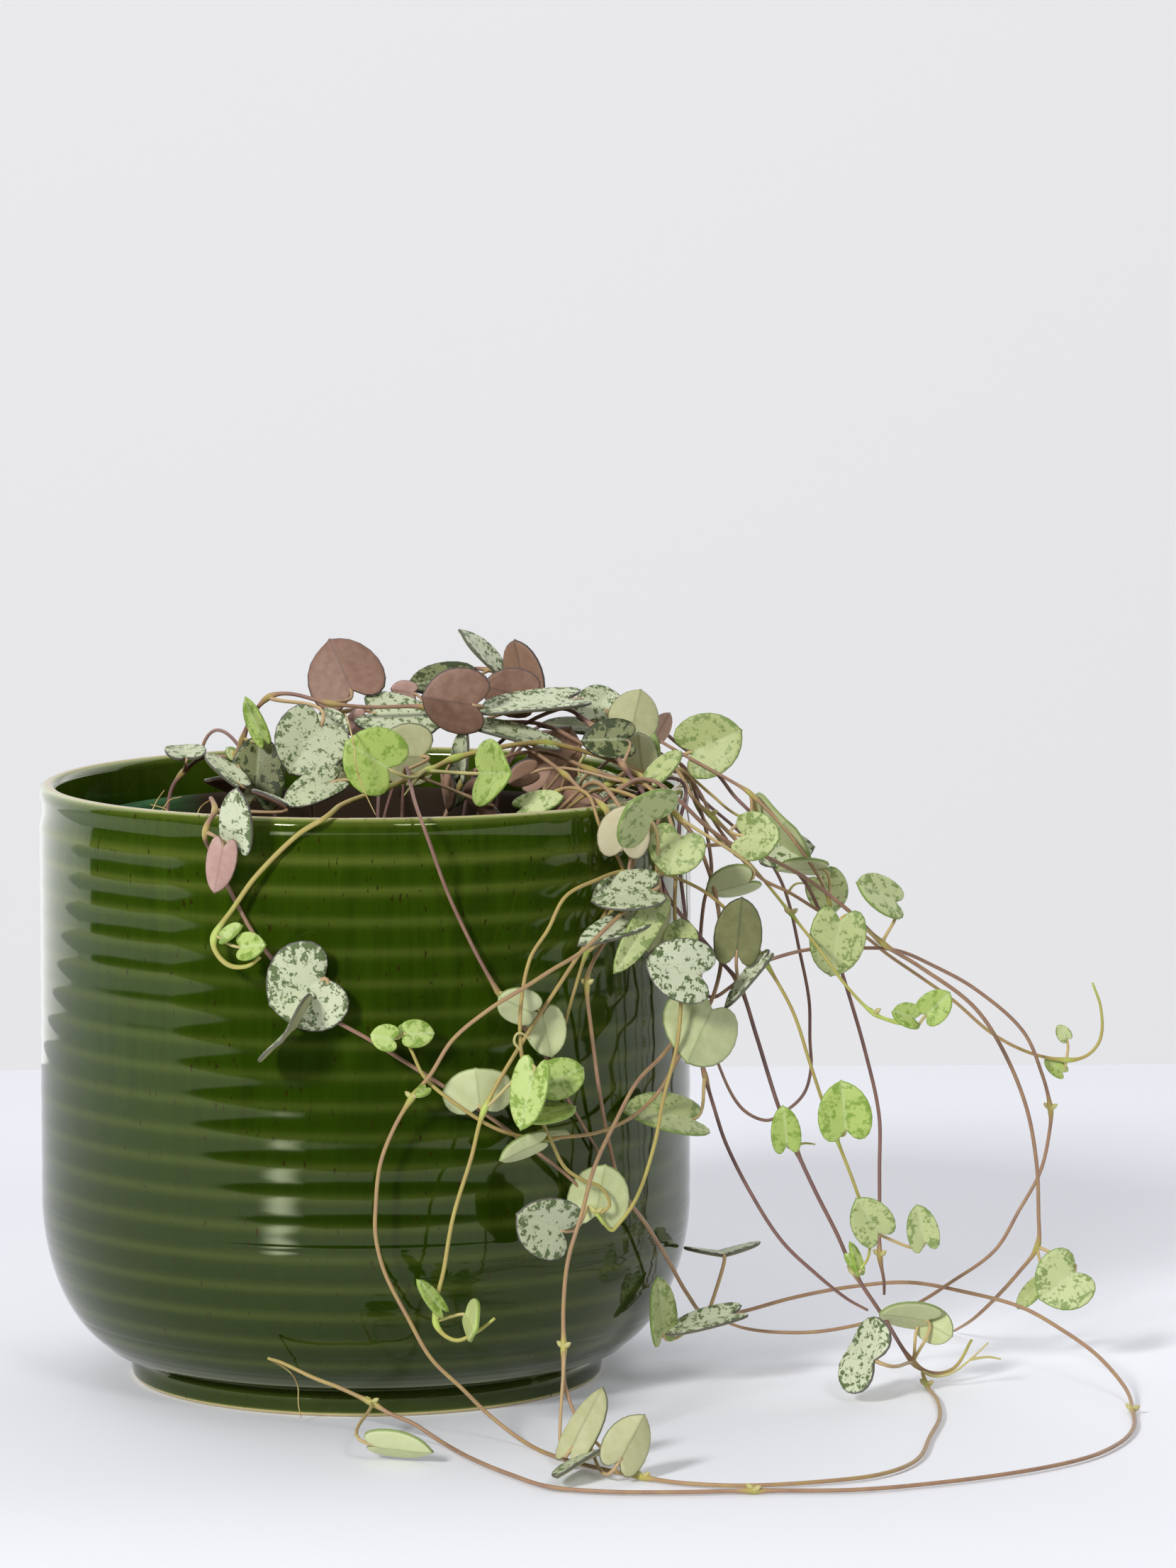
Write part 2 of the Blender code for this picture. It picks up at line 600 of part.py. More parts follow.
# The outer of the two long loops on the right
grow(
    "vine_12", 0.60, (50, 7),
    [
        (60, 6, 138), (72, 7, 141), (77, 8, 132), (80, 2, 117), (78, -2, 109), (77, -6, 100),
        (77, -10, 92), (79, -14, 89), (83, -20, 92), (88, -24, 97), (92, -24, 99), (101, -22, 101),
        (111, -20, 101), (121, -16, 100), (131, -8, 95), (141, -5, 89), (152, -2, 79), (157, 1, 68),
        (159, 2, 60), (159, 3, 55), (157, 4, 45), (152, 3, 36), (146, 0, 27), (135, -4, 20),
        (127, -8, 16), (117, -12, 13), (105, -14, 11), (95, -15, 11), (87, -15, 12), (81, -14, 14),
    ],
    [

    ],
)

# The stem that reaches furthest right, with a curled tip
grow(
    "vine_13", 0.55, (52, -3),
    [
        (63, 5, 138), (71, -4, 140), (74, -5, 139), (77, -7, 135), (80, -10, 129), (86, -14, 121),
        (91, -13, 116), (97, -13, 113), (105, -13, 108), (114, -12, 103), (120, -9, 98), (128, -4, 92),
        (136, -1, 86), (145, 2, 78), (154, 4, 73), (163, 5, 71), (168, 6, 72), (171, 6, 76),
        (171, 6, 83), (169, 6, 89),
    ],
    [
        (15, (163, 6, 76), (161, 6, 79), 3.5, (0, -3, 1)),
        (15, (162, 6, 68), (158, 6, 71), 4, (0, -3, 1)),
    ],
)

# The yellow stem that ends in young leaves
grow(
    "vine_14", 0.50, (51, 13),
    [
        (63, 9, 140), (72, 11, 141), (77, 10, 130), (82, 4, 123), (86, -2, 121), (90, -8, 117),
        (97, -20, 109), (103, -32, 102), (109, -34, 94), (115, -34, 88), (120, -34, 86),
        (125, -34, 85),
    ],
    [
        (10, (124, -36, 87), (119, -38, 89), 6.5, (0, -3, 2)),
        (11, (127, -35, 88), (132, -36, 93), 7.5, (0, -5, 1)),
    ],
)

# The stem that drops straight down on the right
grow(
    "vine_15", 0.60, (30, 28),
    [
        (38, 24, 146), (65, 7, 150), (73, 3, 145), (81, 0, 139), (85, -2, 134), (89, -4, 130),
        (95, -9, 122), (102, -9, 113), (108, -10, 98), (111, -10, 89), (115, -11, 75), (118, -12, 61),
        (118, -14, 49), (118, -15, 37), (118, -16, 29), (119, -16, 23), (119, -17, 20),
    ],
    [

    ],
)

# The thin stem that hooks back on the right
grow(
    "vine_16", 0.55, (46, 28),
    [
        (58, 26, 140), (69, 26, 141), (79, 26, 130), (87, 26, 123), (95, 28, 115), (99, 28, 107),
        (102, 26, 94), (104, 22, 83), (104, 18, 74), (104, 14, 68), (102, 8, 63), (97, 0, 60),
        (92, -6, 59), (86, -10, 63), (81, -14, 73), (79, -16, 81),
    ],
    [

    ],
)

# The dark stem that slants down to the right
grow(
    "vine_17", 0.60, (50, -21),
    [
        (65, -28, 140), (72, -29, 140), (71, -31, 131), (71, -34, 121), (72, -35, 112), (73, -34, 101),
        (73, -33, 90), (75, -31, 81), (77, -30, 73), (79, -29, 66), (82, -28, 57), (88, -27, 45),
        (95, -25, 34), (103, -23, 26), (110, -21, 20), (115, -20, 17),
    ],
    [
        (8, (73, -41, 65), (58, -51, 69), 12, (0, -3, 3)),
    ],
)

# The yellow-green stem with the sharp turn at its foot
grow(
    "vine_18", 0.60, (44, -28),
    [
        (57, -38, 140), (63, -40, 141), (69, -46, 131), (69, -52, 113), (70, -56, 104), (70, -60, 94),
        (69, -62, 85), (66, -62, 73), (64, -63, 63), (60, -63, 51), (55, -63, 44), (54, -63, 44),
        (51, -64, 48),
    ],
    [
        (4, (74, -62, 101), (62, -66, 105), 14.5, (0, -4, 1)),
        (4, (70, -58, 107), (70, -58, 113), 8, (0, -4, 1)),
    ],
)

# The short olive stem under the silver leaves
grow(
    "vine_19", 0.55, (30, -40),
    [
        (42, -48, 140), (49, -55, 141), (52, -58, 134), (58, -51, 120), (53, -55, 112), (49, -61, 106),
        (46, -63, 97), (43, -65, 87), (41, -67, 83),
    ],
    [
        (4, (62, -61, 114), (47, -71, 110), 9, (0, -2, 4)),
        (5, (64, -63, 116), (55, -71, 103), 7, (2, -2, 2)),
        (0, (35, -51, 137), (44, -52, 140), 7, (-1, -2, 2)),
    ],
)

# The longest stem: down the front, round on the right and back along the surface
grow(
    "vine_20", 0.65, (36, -39),
    [
        (49, -43, 141), (54, -50, 141), (59, -55, 131), (57, -57, 117), (54, -60, 110), (50, -61, 103),
        (49, -62, 99), (50, -60, 89), (52, -58, 74), (54, -56, 63), (57, -56, 52), (63, -47, 42),
        (68, -40, 33), (73, -30, 23), (78, -22, 16), (87, -10, 15), (99, -4, 17), (112, -2, 19),
        (126, -2, 20), (139, -4, 18), (151, -12, 16), (160, -20, 12), (167, -30, 8), (172, -42, 3),
        (172, -57, 1), (170, -76, 1), (165, -92, 1), (156, -107, 1), (141, -120, 1), (121, -131, 1),
        (103, -137, 1), (82, -137, 1), (65, -138, 1), (51, -137, 1), (39, -132, 1), (31, -120, 1),
        (23, -104, 1), (16, -85, 1), (10, -80, 4), (5, -79, 6), (1, -77, 8), (-6, -75, 11),
        (-12, -73, 13), (-19, -71, 16), (-22, -71, 17),
    ],
    [
        (3, (65, -54, 116), (63, -56, 105), 7, (0, 5, 0)),
        (14, (67, -34, 15), (66, -36, 28), 9, (2, -2, 0)),
        (14, (82, -20, 30), (81, -10, 29), 18, (0, -2, 4)),
        (14, (83, -30, 18), (68, -34, 15), 9, (0, -1, 3)),
        (40, (2, -103, 4), (14, -106, 3), 10, (0, 3, 3)),
    ],
)

# The brown stem that sweeps left and ends in a pair of small leaves
grow(
    "vine_21", 0.60, (43, -33),
    [
        (60, -41, 142), (67, -42, 140), (64, -50, 129), (66, -46, 119), (68, -45, 108), (70, -41, 97),
        (73, -39, 89), (72, -45, 84), (68, -50, 77), (65, -49, 72), (59, -56, 68), (51, -64, 66),
        (43, -70, 66), (38, -72, 66), (29, -77, 69), (20, -80, 75), (13, -80, 81), (10, -80, 87),
        (8, -80, 91),
    ],
    [
        (13, (38, -76, 66), (29, -80, 63), 6, (0, 4, 2)),
        (13, (38, -70, 66), (45, -66, 66), 5, (0, 2, 2)),
        (18, (6, -82, 90), (1, -82, 91), 6.2, (0, -5, 1)),
        (18, (9, -81, 91), (15, -80, 91), 6.4, (0, -5, 1)),
    ],
)
# ---------------------------------------------------------------- the stems behind the pot

BACK_STEMS = [(52, 72), (86, 96), (120, 58)]  # heading in degrees, and how far each hangs down
BACK_STEM_RADIUS = 0.6
BACK_ROOT = 43  # from the middle of the pot
BACK_CREST = [(58, 139), (70, 143), (79, 138)]  # (radius, height), over the lip
BACK_HANG = 80  # from the middle of the pot
BACK_FIRST_NODE = 118
NODE_SPACING = 24
NODE_SWING = 0.06  # radians to either side of the heading
LEAF_WIDTHS = (13, 18)
LEAF_ASPECT = 0.62  # how far a leaf hangs down, as a share of its width
LEAF_SPREAD = 0.4  # and how far it reaches sideways
STALK_ACROSS = 5
STALK_OUT = 3


def back_stem(number, angle, drop):
    """A stem that hangs down the pot's far side, with a pair of leaves at each node."""
    draw = random.Random(number)
    heading = math.radians(angle)
    out = Vector((math.cos(heading), math.sin(heading), 0))
    along_wall = Vector((-math.sin(heading), math.cos(heading), 0))

    def place(radius, height, swing=0.0):
        turn = heading + swing
        return round(radius * math.cos(turn)), round(radius * math.sin(turn)), round(height)

    route = [place(*point) for point in BACK_CREST]
    height = BACK_FIRST_NODE
    while height > BACK_CREST[-1][1] - 1 - drop:
        route.append(place(BACK_HANG, height, draw.uniform(-NODE_SWING, NODE_SWING)))
        height -= NODE_SPACING
    leaves = []
    for point in range(len(BACK_CREST), len(route)):
        for side in (-1, 1):
            width = draw.uniform(*LEAF_WIDTHS)
            across = along_wall * side
            lift = Vector((0, 0, draw.uniform(0, 3)))
            base = Vector(route[point]) + across * STALK_ACROSS + out * STALK_OUT + lift
            lean = out * draw.uniform(0, 4) - Vector((0, 0, width * LEAF_ASPECT))
            tip = base + across * width * LEAF_SPREAD + lean
            leaves.append((point, tuple(base), tuple(tip), width, tuple(out + Vector((0, 0, 0.4)))))
    root = place(BACK_ROOT, 0)[:2]
    grow(f"vine_{number}", BACK_STEM_RADIUS, root, route, leaves)


for number, (angle, drop) in enumerate(BACK_STEMS, start=22):
    back_stem(number, angle, drop)
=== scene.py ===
"""A string of hearts, Ceropegia woodii, trailing out of a ribbed stoneware pot with a green glaze.

Metres, +Z up, as in the CAD frame. Routes, leaves and other sizes are given in millimetres.
"""
import math
import random

import bmesh
import bpy
from mathutils import Matrix, Vector
from mathutils.geometry import interpolate_bezier


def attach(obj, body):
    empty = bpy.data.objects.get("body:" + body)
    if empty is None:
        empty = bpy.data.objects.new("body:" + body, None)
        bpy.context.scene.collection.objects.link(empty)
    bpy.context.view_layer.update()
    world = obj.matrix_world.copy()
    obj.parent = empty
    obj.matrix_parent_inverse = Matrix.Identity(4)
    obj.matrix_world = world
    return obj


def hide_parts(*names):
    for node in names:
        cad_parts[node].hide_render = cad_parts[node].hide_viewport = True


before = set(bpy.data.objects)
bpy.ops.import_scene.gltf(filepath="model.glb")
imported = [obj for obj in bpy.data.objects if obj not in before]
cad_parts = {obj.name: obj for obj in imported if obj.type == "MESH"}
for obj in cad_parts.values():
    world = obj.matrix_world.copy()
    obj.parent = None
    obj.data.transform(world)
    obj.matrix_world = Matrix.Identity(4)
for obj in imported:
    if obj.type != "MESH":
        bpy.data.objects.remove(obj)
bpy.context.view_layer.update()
MM = 0.001

# ------------------------------------------------------------------ camera
# A long lens a metre and a half away, a little above the lip and looking slightly down, so that
# the mouth of the pot shows as a thin ellipse.
CAMERA_PLACE = (0, -1.5373, 0.3126)
CAMERA_TILT = 6.525  # degrees below level
CAMERA_PAN = 1.913  # degrees to the right
FOCAL_LENGTH = 154.27
SENSOR_HEIGHT = 36

camera = bpy.data.objects.new("camera", bpy.data.cameras.new("camera"))
bpy.context.scene.collection.objects.link(camera)
camera.location = CAMERA_PLACE
camera.rotation_euler = (math.radians(90 - CAMERA_TILT), 0, math.radians(-CAMERA_PAN))
camera.data.sensor_fit = "VERTICAL"
camera.data.sensor_height = SENSOR_HEIGHT
camera.data.lens = FOCAL_LENGTH
camera.data.clip_start = 0.01
bpy.context.scene.camera = camera
bpy.context.scene.view_settings.view_transform = "Standard"

# ------------------------------------------------------------------ table, wall and lights
# A white laminate table, with a painted wall well behind it. The table ends not far in front of
# the pot, and the glaze mirrors that edge. Softboxes stand on the left and on the right, and a wide
# one hangs overhead.
TABLE_X = (-0.92, 0.95)
TABLE_Y = (-0.35, 0.449)
WALL_Y = 2.2  # so far behind the table that a camera fits between them
WALL_Z = (-1.2, 5.5)


def linear(code):
    """An sRGB hex colour as the linear values that a shader takes."""
    shares = [int(code[i : i + 2], 16) / 255 for i in (1, 3, 5)]
    return (*(s / 12.92 if s < 0.04045 else ((s + 0.055) / 1.055) ** 2.4 for s in shares), 1)


def add_node(tree, kind, sockets=None, stops=None, **settings):
    """Adds a node with its settings. A socket takes a value or another node's output.

    Sockets that share a name go by number: in a Mix 0 is the share, 6 and 7 are the colours and
    output 2 is the result; a Map Range takes 1 to 2 and gives 3 to 4.
    """
    node = tree.nodes.new("ShaderNode" + kind)
    for name, value in settings.items():
        setattr(node, name, value)
    for name, value in (sockets or {}).items():
        if isinstance(value, bpy.types.NodeSocket):
            tree.links.new(value, node.inputs[name])
        else:
            node.inputs[name].default_value = value
    if stops:
        elements = node.color_ramp.elements
        while len(elements) < len(stops):
            elements.new(0.5)
        for element, (position, code) in zip(elements, stops):
            element.position = position
            element.color = linear(code)
    return node


def new_material(name, **values):
    """A material with a Principled shader, and the shader's even values."""
    material = bpy.data.materials.new(name)
    material.use_nodes = True
    shader = material.node_tree.nodes["Principled BSDF"]
    for socket, value in values.items():
        shader.inputs[socket.replace("_", " ")].default_value = value
    return material, material.node_tree, shader


def finished(name, shape, materials, smooth=True):
    """Makes an object at the origin from a bmesh."""
    mesh = bpy.data.meshes.new(name)
    for face in shape.faces:
        face.smooth = smooth
    shape.to_mesh(mesh)
    shape.free()
    for material in materials:
        mesh.materials.append(material)
    obj = bpy.data.objects.new(name, mesh)
    bpy.context.scene.collection.objects.link(obj)
    return obj


def stage_sheet(name, material, rows):
    """Stages a sheet that spans rows of points, each (place, share of the sheet's own light)."""
    shape = bmesh.new()
    layer = shape.verts.layers.float.new("lit")
    grid = []
    for row in rows:
        grid.append([shape.verts.new(place) for place, share in row])
        for vert, (place, share) in zip(grid[-1], row):
            vert[layer] = share
    for near, far in zip(grid, grid[1:]):
        for left in range(len(near) - 1):
            shape.faces.new([near[left], near[left + 1], far[left + 1], far[left]])
    finished(name, shape, [material], smooth=False)


def stage_paint(name, code, light_code, specular, glow, ramp="LINEAR"):
    """Matt paint with light of its own, from glow[0] to glow[1] by the shares on its sheet."""
    material, tree, shader = new_material(
        name, Base_Color=linear(code), Emission_Color=linear(light_code), Roughness=0.9,
        Specular_IOR_Level=specular,
    )
    lit = add_node(tree, "Attribute", attribute_name="lit").outputs["Fac"]
    shown = add_node(
        tree, "MapRange", {"Value": lit, 3: glow[0], 4: glow[1]}, interpolation_type=ramp
    )
    tree.links.new(shown.outputs[0], shader.inputs["Emission Strength"])
    return material


# White laminate: matt and even, with a little light of its own to keep it so
laminate = new_material(
    "white_laminate", Base_Color=linear("#e8e9ee"), Emission_Color=linear("#e8e9ee"),
    Emission_Strength=0.1, Roughness=0.9, Specular_IOR_Level=0.1,
)[0]
stage_sheet("table", laminate, [[((x, y, 0), 1) for x in TABLE_X] for y in TABLE_Y])

# Matt emulsion on the wall, with light of its own. It glows brighter on either side of what the camera
# sees, which puts a pale edge on the glaze. (place across the wall, share of that light)
WALL_WASH = [
    (-5.5, 0.5), (-4.2, 0.8), (-1.4, 1), (-0.75, 1), (-0.27, 0), (0.52, 0), (1.0, 1), (1.8, 1),
    (4.6, 0.8), (6.5, 0.5),
]
WALL_GLOW = (0.86, 2.3)

emulsion = stage_paint("wall_paint", "#d4d4d4", "#d6d6d9", 0.1, WALL_GLOW)
stage_sheet(
    "wall", emulsion, [[((x, WALL_Y, height), share) for x, share in WALL_WASH] for height in WALL_Z]
)

# A card lies on the table's front left edge. It is no lamp, but its paper glows with light of its own
# along the middle, and the glaze mirrors it as a soft upright band. (middle of the row, half its width,
# share of the glow at its middle)
CARD_ROWS = [
    ((-0.102, -0.209, 0.002), 0.026, 0.3), ((-0.117, -0.235, 0.002), 0.032, 1),
    ((-0.143, -0.281, 0.002), 0.042, 1), ((-0.180, -0.346, 0.002), 0.055, 0.4),
]
CARD_SLANT = Vector((0.875, -0.485, 0))
CARD_GLOW = (0, 7)

glowing_paper = stage_paint("glowing_card", "#f0f1f4", "#f4f6ff", 0.5, CARD_GLOW, ramp="SMOOTHSTEP")
stage_sheet(
    "glowing_card", glowing_paper,
    [
        [
            (Vector(middle) + CARD_SLANT * half * side, bright * (side == 0))
            for side in (-1, 0, 1)
        ]
        for middle, half, bright in CARD_ROWS
    ],
)


def softbox(name, place, aim, size, watts):
    """A soft, square-cornered lamp, turned to face a point."""
    light = bpy.data.lights.new(name, "AREA")
    light.shape = "RECTANGLE"
    light.size, light.size_y = size
    light.energy = watts
    lamp = bpy.data.objects.new(name, light)
    lamp.location = place
    lamp.rotation_euler = (Vector(aim) - Vector(place)).to_track_quat("-Z", "Y").to_euler()
    bpy.context.scene.collection.objects.link(lamp)


softbox("softbox_left", (-1.34, -2.2, 1.4), (0, 0, 0.05), (0.44, 0.44), 62)
softbox("softbox_right", (0.44, -1.32, 1.0), (0, 0, 0.05), (0.36, 0.36), 5)
softbox("softbox_above", (0, 0, 1.7), (0, 0, 0), (1.8, 1.4), 6)

world = bpy.data.worlds.new("studio")
world.use_nodes = True
world.node_tree.nodes["Background"].inputs["Color"].default_value = linear("#303236")
bpy.context.scene.world = world

# ------------------------------------------------------------------ the glazed pot
# Thrown stoneware with shallow grooves turned in its wall, dipped in a glossy bottle-green glaze.
# The glaze runs thin and pale on the ridges and on the lip, and pools darker in the grooves. The
# foot is wiped clean, so a line of tan clay shows at its edge.
POT_RADIUS = 75
POT_HEIGHT = 137.7
LIP_RADIUS = 72.8  # at the middle of the rounded lip
LIP_ROUNDING = 2.1
LIP_BELOW = 3.4  # down to where the inner wall runs into the lip
LIP_THIN = (0.1, 0.95)  # how thin the glaze is on the lip's sides, and how much thinner on its crest
# (radius, height, how thin the glaze is) of the outside between the lip and the top ridge
NECK = [(74.62, 134.4, 0.12), (74.3, 132, 0), (74.55, 130.2, 0.1)]
WALL = 4.6
WALL_TOP = 128
FLOOR_TOP = 11
INNER_CORNER = [(50, 11), (57, 15), (63, 23), (67, 35), (69, 49)]
CORNER_RISE = 36
CORNER_REACH = 21
CORNER_SWEEP = math.radians(78)
RIDGE_TOP = 128.4
RIDGE_PITCH = 6.83  # measured along the wall
RIDGE_COUNT = 19
GROOVE_DEPTH = 0.072  # the glaze has all but levelled the grooves in the clay below it
RIDGE_WIDTH = 1.15  # of the pale line where the glaze is thin
RIDGE_THIN = 0.3  # how thin the glaze is there
TOP_THIN = 0.4  # and how much thinner on the top ridge, less with each one below it
TOP_FADE = 1.5  # ridges
GROOVE_STEPS = 14
SLOPE_STEP = 0.05  # along the wall, to find its slope
TUCK = (1.6, 1.5)  # how far in and down the wall turns under the lowest ridge
FOOT_HEIGHT = 6.5
# (radius, height, how thin the glaze is) round the foot, with bare clay from 0.8 mm down
FOOT = [
    (54.4, 6.4, 0), (54.2, 5.9, 0), (54.5, 5.4, 0.3), (54.8, 4.8, 0.3), (54.7, 3, 0.1),
    (54.5, 1.4, 0.15), (54.4, 0.8, 1), (54.2, 0.3, 1), (53.6, 0, 1), (47, 0, 1), (45.5, 1.2, 1),
    (0, 1.2, 1),
]
TURN_STEPS = 176


def wall_point(along):
    """The (radius, height) of the smooth outer wall, a distance down it from its top ridge."""
    straight = RIDGE_TOP - CORNER_RISE - FOOT_HEIGHT
    if along <= straight:
        return Vector((POT_RADIUS, RIDGE_TOP - along))
    travelled, sweep, step = straight, 0.0, math.radians(0.5)
    while travelled < along and sweep < CORNER_SWEEP:
        travelled += step * math.hypot(CORNER_REACH * math.sin(sweep), CORNER_RISE * math.cos(sweep))
        sweep += step
    return Vector((
        POT_RADIUS - CORNER_REACH * (1 - math.cos(sweep)),
        FOOT_HEIGHT + CORNER_RISE * (1 - math.sin(sweep)),
    ))


def pot_outline():
    """(radius, height, how thin the glaze is) points, from the middle of the floor round the lip
    and down the outside to the middle of the underside."""
    outline = [(0, FLOOR_TOP, 0)] + [(x, z, 0) for x, z in INNER_CORNER]
    outline.append((POT_RADIUS - WALL, WALL_TOP, 0))
    outline.append((LIP_RADIUS - LIP_ROUNDING, POT_HEIGHT - LIP_BELOW, 0.15))
    for degrees in range(180, -1, -20):
        turn = math.radians(degrees)
        outline.append((
            LIP_RADIUS + LIP_ROUNDING * math.cos(turn),
            POT_HEIGHT - LIP_ROUNDING + LIP_ROUNDING * math.sin(turn),
            min(1, LIP_THIN[0] + LIP_THIN[1] * math.sin(turn)),
        ))
    outline += NECK
    for groove in range(RIDGE_COUNT - 1):
        bared = RIDGE_THIN + TOP_THIN * math.exp(-groove / TOP_FADE)
        for step in range(GROOVE_STEPS):
            share = step / GROOVE_STEPS
            along = (groove + share) * RIDGE_PITCH
            here, below = wall_point(along), wall_point(along + SLOPE_STEP)
            run = (below - here).normalized()
            inward = Vector((run.y, -run.x)) * GROOVE_DEPTH * (1 - math.cos(share * math.tau)) / 2
            ridge = bared * math.exp(-((min(share, 1 - share) * RIDGE_PITCH / RIDGE_WIDTH) ** 2))
            outline.append((here.x + inward.x, here.y + inward.y, ridge))
    last = wall_point((RIDGE_COUNT - 1) * RIDGE_PITCH)
    return outline + [(last.x, last.y, 0.3), (last.x - TUCK[0], last.y - TUCK[1], 0.1)] + FOOT


def turned(outline, steps, mark=None):
    """Spins (radius, height, value) points round the Z axis; the value is kept on the mesh."""
    shape = bmesh.new()
    layer = shape.verts.layers.float.new(mark) if mark else None
    row = []
    for radius, height, value in outline:
        vert = shape.verts.new((radius * MM, 0, height * MM))
        if mark:
            vert[layer] = value
        row.append(vert)
    edges = [shape.edges.new(pair) for pair in zip(row, row[1:])]
    bmesh.ops.spin(
        shape, geom=row + edges, axis=(0, 0, 1), cent=(0, 0, 0), angle=math.tau, steps=steps,
        use_merge=True,
    )
    bmesh.ops.remove_doubles(shape, verts=shape.verts, dist=1e-6)
    bmesh.ops.recalc_face_normals(shape, faces=shape.faces)
    return shape


def paint(tree, shader, colour, coats=()):
    """Gives a shader its colour, and coats over it: (the share that shows, sRGB hex colour)."""
    for share, code in coats:
        coat = add_node(tree, "Mix", {0: share, 6: colour, 7: linear(code)}, data_type="RGBA")
        colour = coat.outputs[2]
    tree.links.new(colour, shader.inputs["Base Color"])


# Glaze over stoneware: a glassy skin, so mirror-like with the IOR of glass. The streaks are runs a
# millimetre or two wide, and the specks are iron spots of about half a millimetre. The glaze sagged
# as it melted, so it is thicker and darker low down.
glaze, tree, shader = new_material(
    "bottle_green_glaze", Roughness=0.07, IOR=1.5, Specular_Tint=(0.94, 1, 0.62, 1)
)
coords = add_node(tree, "TexCoord").outputs["Object"]
thin = add_node(tree, "Attribute", attribute_name="thin").outputs["Fac"]
runs = add_node(tree, "Mapping", {"Vector": coords, "Scale": (1, 1, 0.09)}).outputs["Vector"]
streaks = add_node(tree, "TexNoise", {"Vector": runs, "Scale": 420, "Detail": 3, "Roughness": 0.6})
clouds = add_node(tree, "TexNoise", {"Vector": coords, "Scale": 26, "Detail": 3})
pooled = add_node(
    tree, "ValToRGB", {"Fac": streaks.outputs["Fac"]}, stops=[(0.32, "#223501"), (0.7, "#344c03")]
)
height = add_node(tree, "SeparateXYZ", {"Vector": coords}).outputs["Z"]
sagged = add_node(tree, "MapRange", {"Value": height, 1: 0.04, 2: 0.122, 3: 0.75, 4: 0})
ridged = add_node(
    tree, "ValToRGB", {"Fac": thin}, stops=[(0, "#000000"), (0.7, "#8a8a8a"), (1, "#ffffff")]
)
clay = add_node(tree, "MapRange", {"Value": thin, 1: 0.9, 2: 1})
drops = add_node(tree, "Mapping", {"Vector": coords, "Scale": (1, 1, 0.4)}).outputs["Vector"]
spots = add_node(tree, "TexNoise", {"Vector": drops, "Scale": 1050, "Detail": 1})
specks = add_node(tree, "MapRange", {"Value": spots.outputs["Fac"], 1: 0.69, 2: 0.75, 4: 0.8})
paint(
    tree, shader, pooled.outputs["Color"],
    [
        (clouds.outputs["Fac"], "#2a4003"), (sagged.outputs[0], "#142400"),
        (ridged.outputs["Color"], "#8f9a45"), (clay.outputs[0], "#c3b287"),
        (specks.outputs[0], "#2a1a08"),
    ],
)
ripple = add_node(tree, "TexNoise", {"Vector": coords, "Scale": 55, "Detail": 2})
bump = add_node(
    tree, "Bump", {"Height": ripple.outputs["Fac"], "Strength": 0.03, "Distance": 0.002}
)
tree.links.new(bump.outputs["Normal"], shader.inputs["Normal"])

pot = finished("pot_glazed", turned(pot_outline(), TURN_STEPS, "thin"), [glaze])
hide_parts("pot")
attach(pot, "root")

# ------------------------------------------------------------------ the nursery pot
# The thin blow-moulded polypropylene pot that the plant was raised in. Its rolled rim stands just
# below the lip.
LINER_TOP = 129
LINER_RADIUS = 62
LINER_BASE_RADIUS = 43
LINER_WALL = 1.2
LINER_FOOT = 11.3
# (radius, height) from the inside over the rolled rim and back in under it
LINER_RIM = [
    (61.6, 128.8), (62.4, 129), (63.6, 129), (64.2, 128.4), (64.2, 125), (63.4, 125), (63.3, 127.8),
    (61.9, 127.4),
]
# The same down the outside and round the foot to the middle of the underside
LINER_HEEL = [(43.4, 12.8), (41.8, 11.3), (0, 11.3)]
LINER_STEPS = 128

# Blown polypropylene: a dull green, ringed by handling. Painted shade in dark brown covers all but its
# left side.
plastic, tree, shader = new_material(
    "moulded_polypropylene", Roughness=0.8, Specular_IOR_Level=0.15
)
coords = add_node(tree, "TexCoord").outputs["Object"]
bands = add_node(tree, "Mapping", {"Vector": coords, "Scale": (1, 1, 12)}).outputs["Vector"]
worn = add_node(tree, "TexNoise", {"Vector": bands, "Scale": 60, "Detail": 4})
dusty = add_node(
    tree, "ValToRGB", {"Fac": worn.outputs["Fac"]}, stops=[(0.3, "#1d4420"), (0.75, "#3a6b3c")]
)
across = add_node(tree, "SeparateXYZ", {"Vector": coords}).outputs["X"]
# painted shade: dark brown, starting 50 mm left of the middle and full from 38 mm, over the rest of the
# pot
painted_shade_mask = add_node(tree, "MapRange", {"Value": across, 1: -0.05, 2: -0.038})
paint(tree, shader, dusty.outputs["Color"], [(painted_shade_mask.outputs[0], "#2b2013")])


def liner_radius(height):
    """The outer radius of the tapered nursery pot."""
    rise = (height - LINER_FOOT) / (LINER_TOP - LINER_FOOT)
    return LINER_BASE_RADIUS + (LINER_RADIUS - LINER_BASE_RADIUS) * rise


floor_top = LINER_FOOT + LINER_WALL
liner_outline = [(0, floor_top), (LINER_BASE_RADIUS - 3, floor_top)]
liner_outline += [(liner_radius(height) - LINER_WALL, height) for height in (16, 60, 120, 127.8)]
liner_outline += LINER_RIM + [(liner_radius(60), 60)] + LINER_HEEL
liner = finished(
    "nursery_pot_moulded", turned([(*point, 0) for point in liner_outline], LINER_STEPS), [plastic]
)
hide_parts("nursery_pot")
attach(liner, "root")

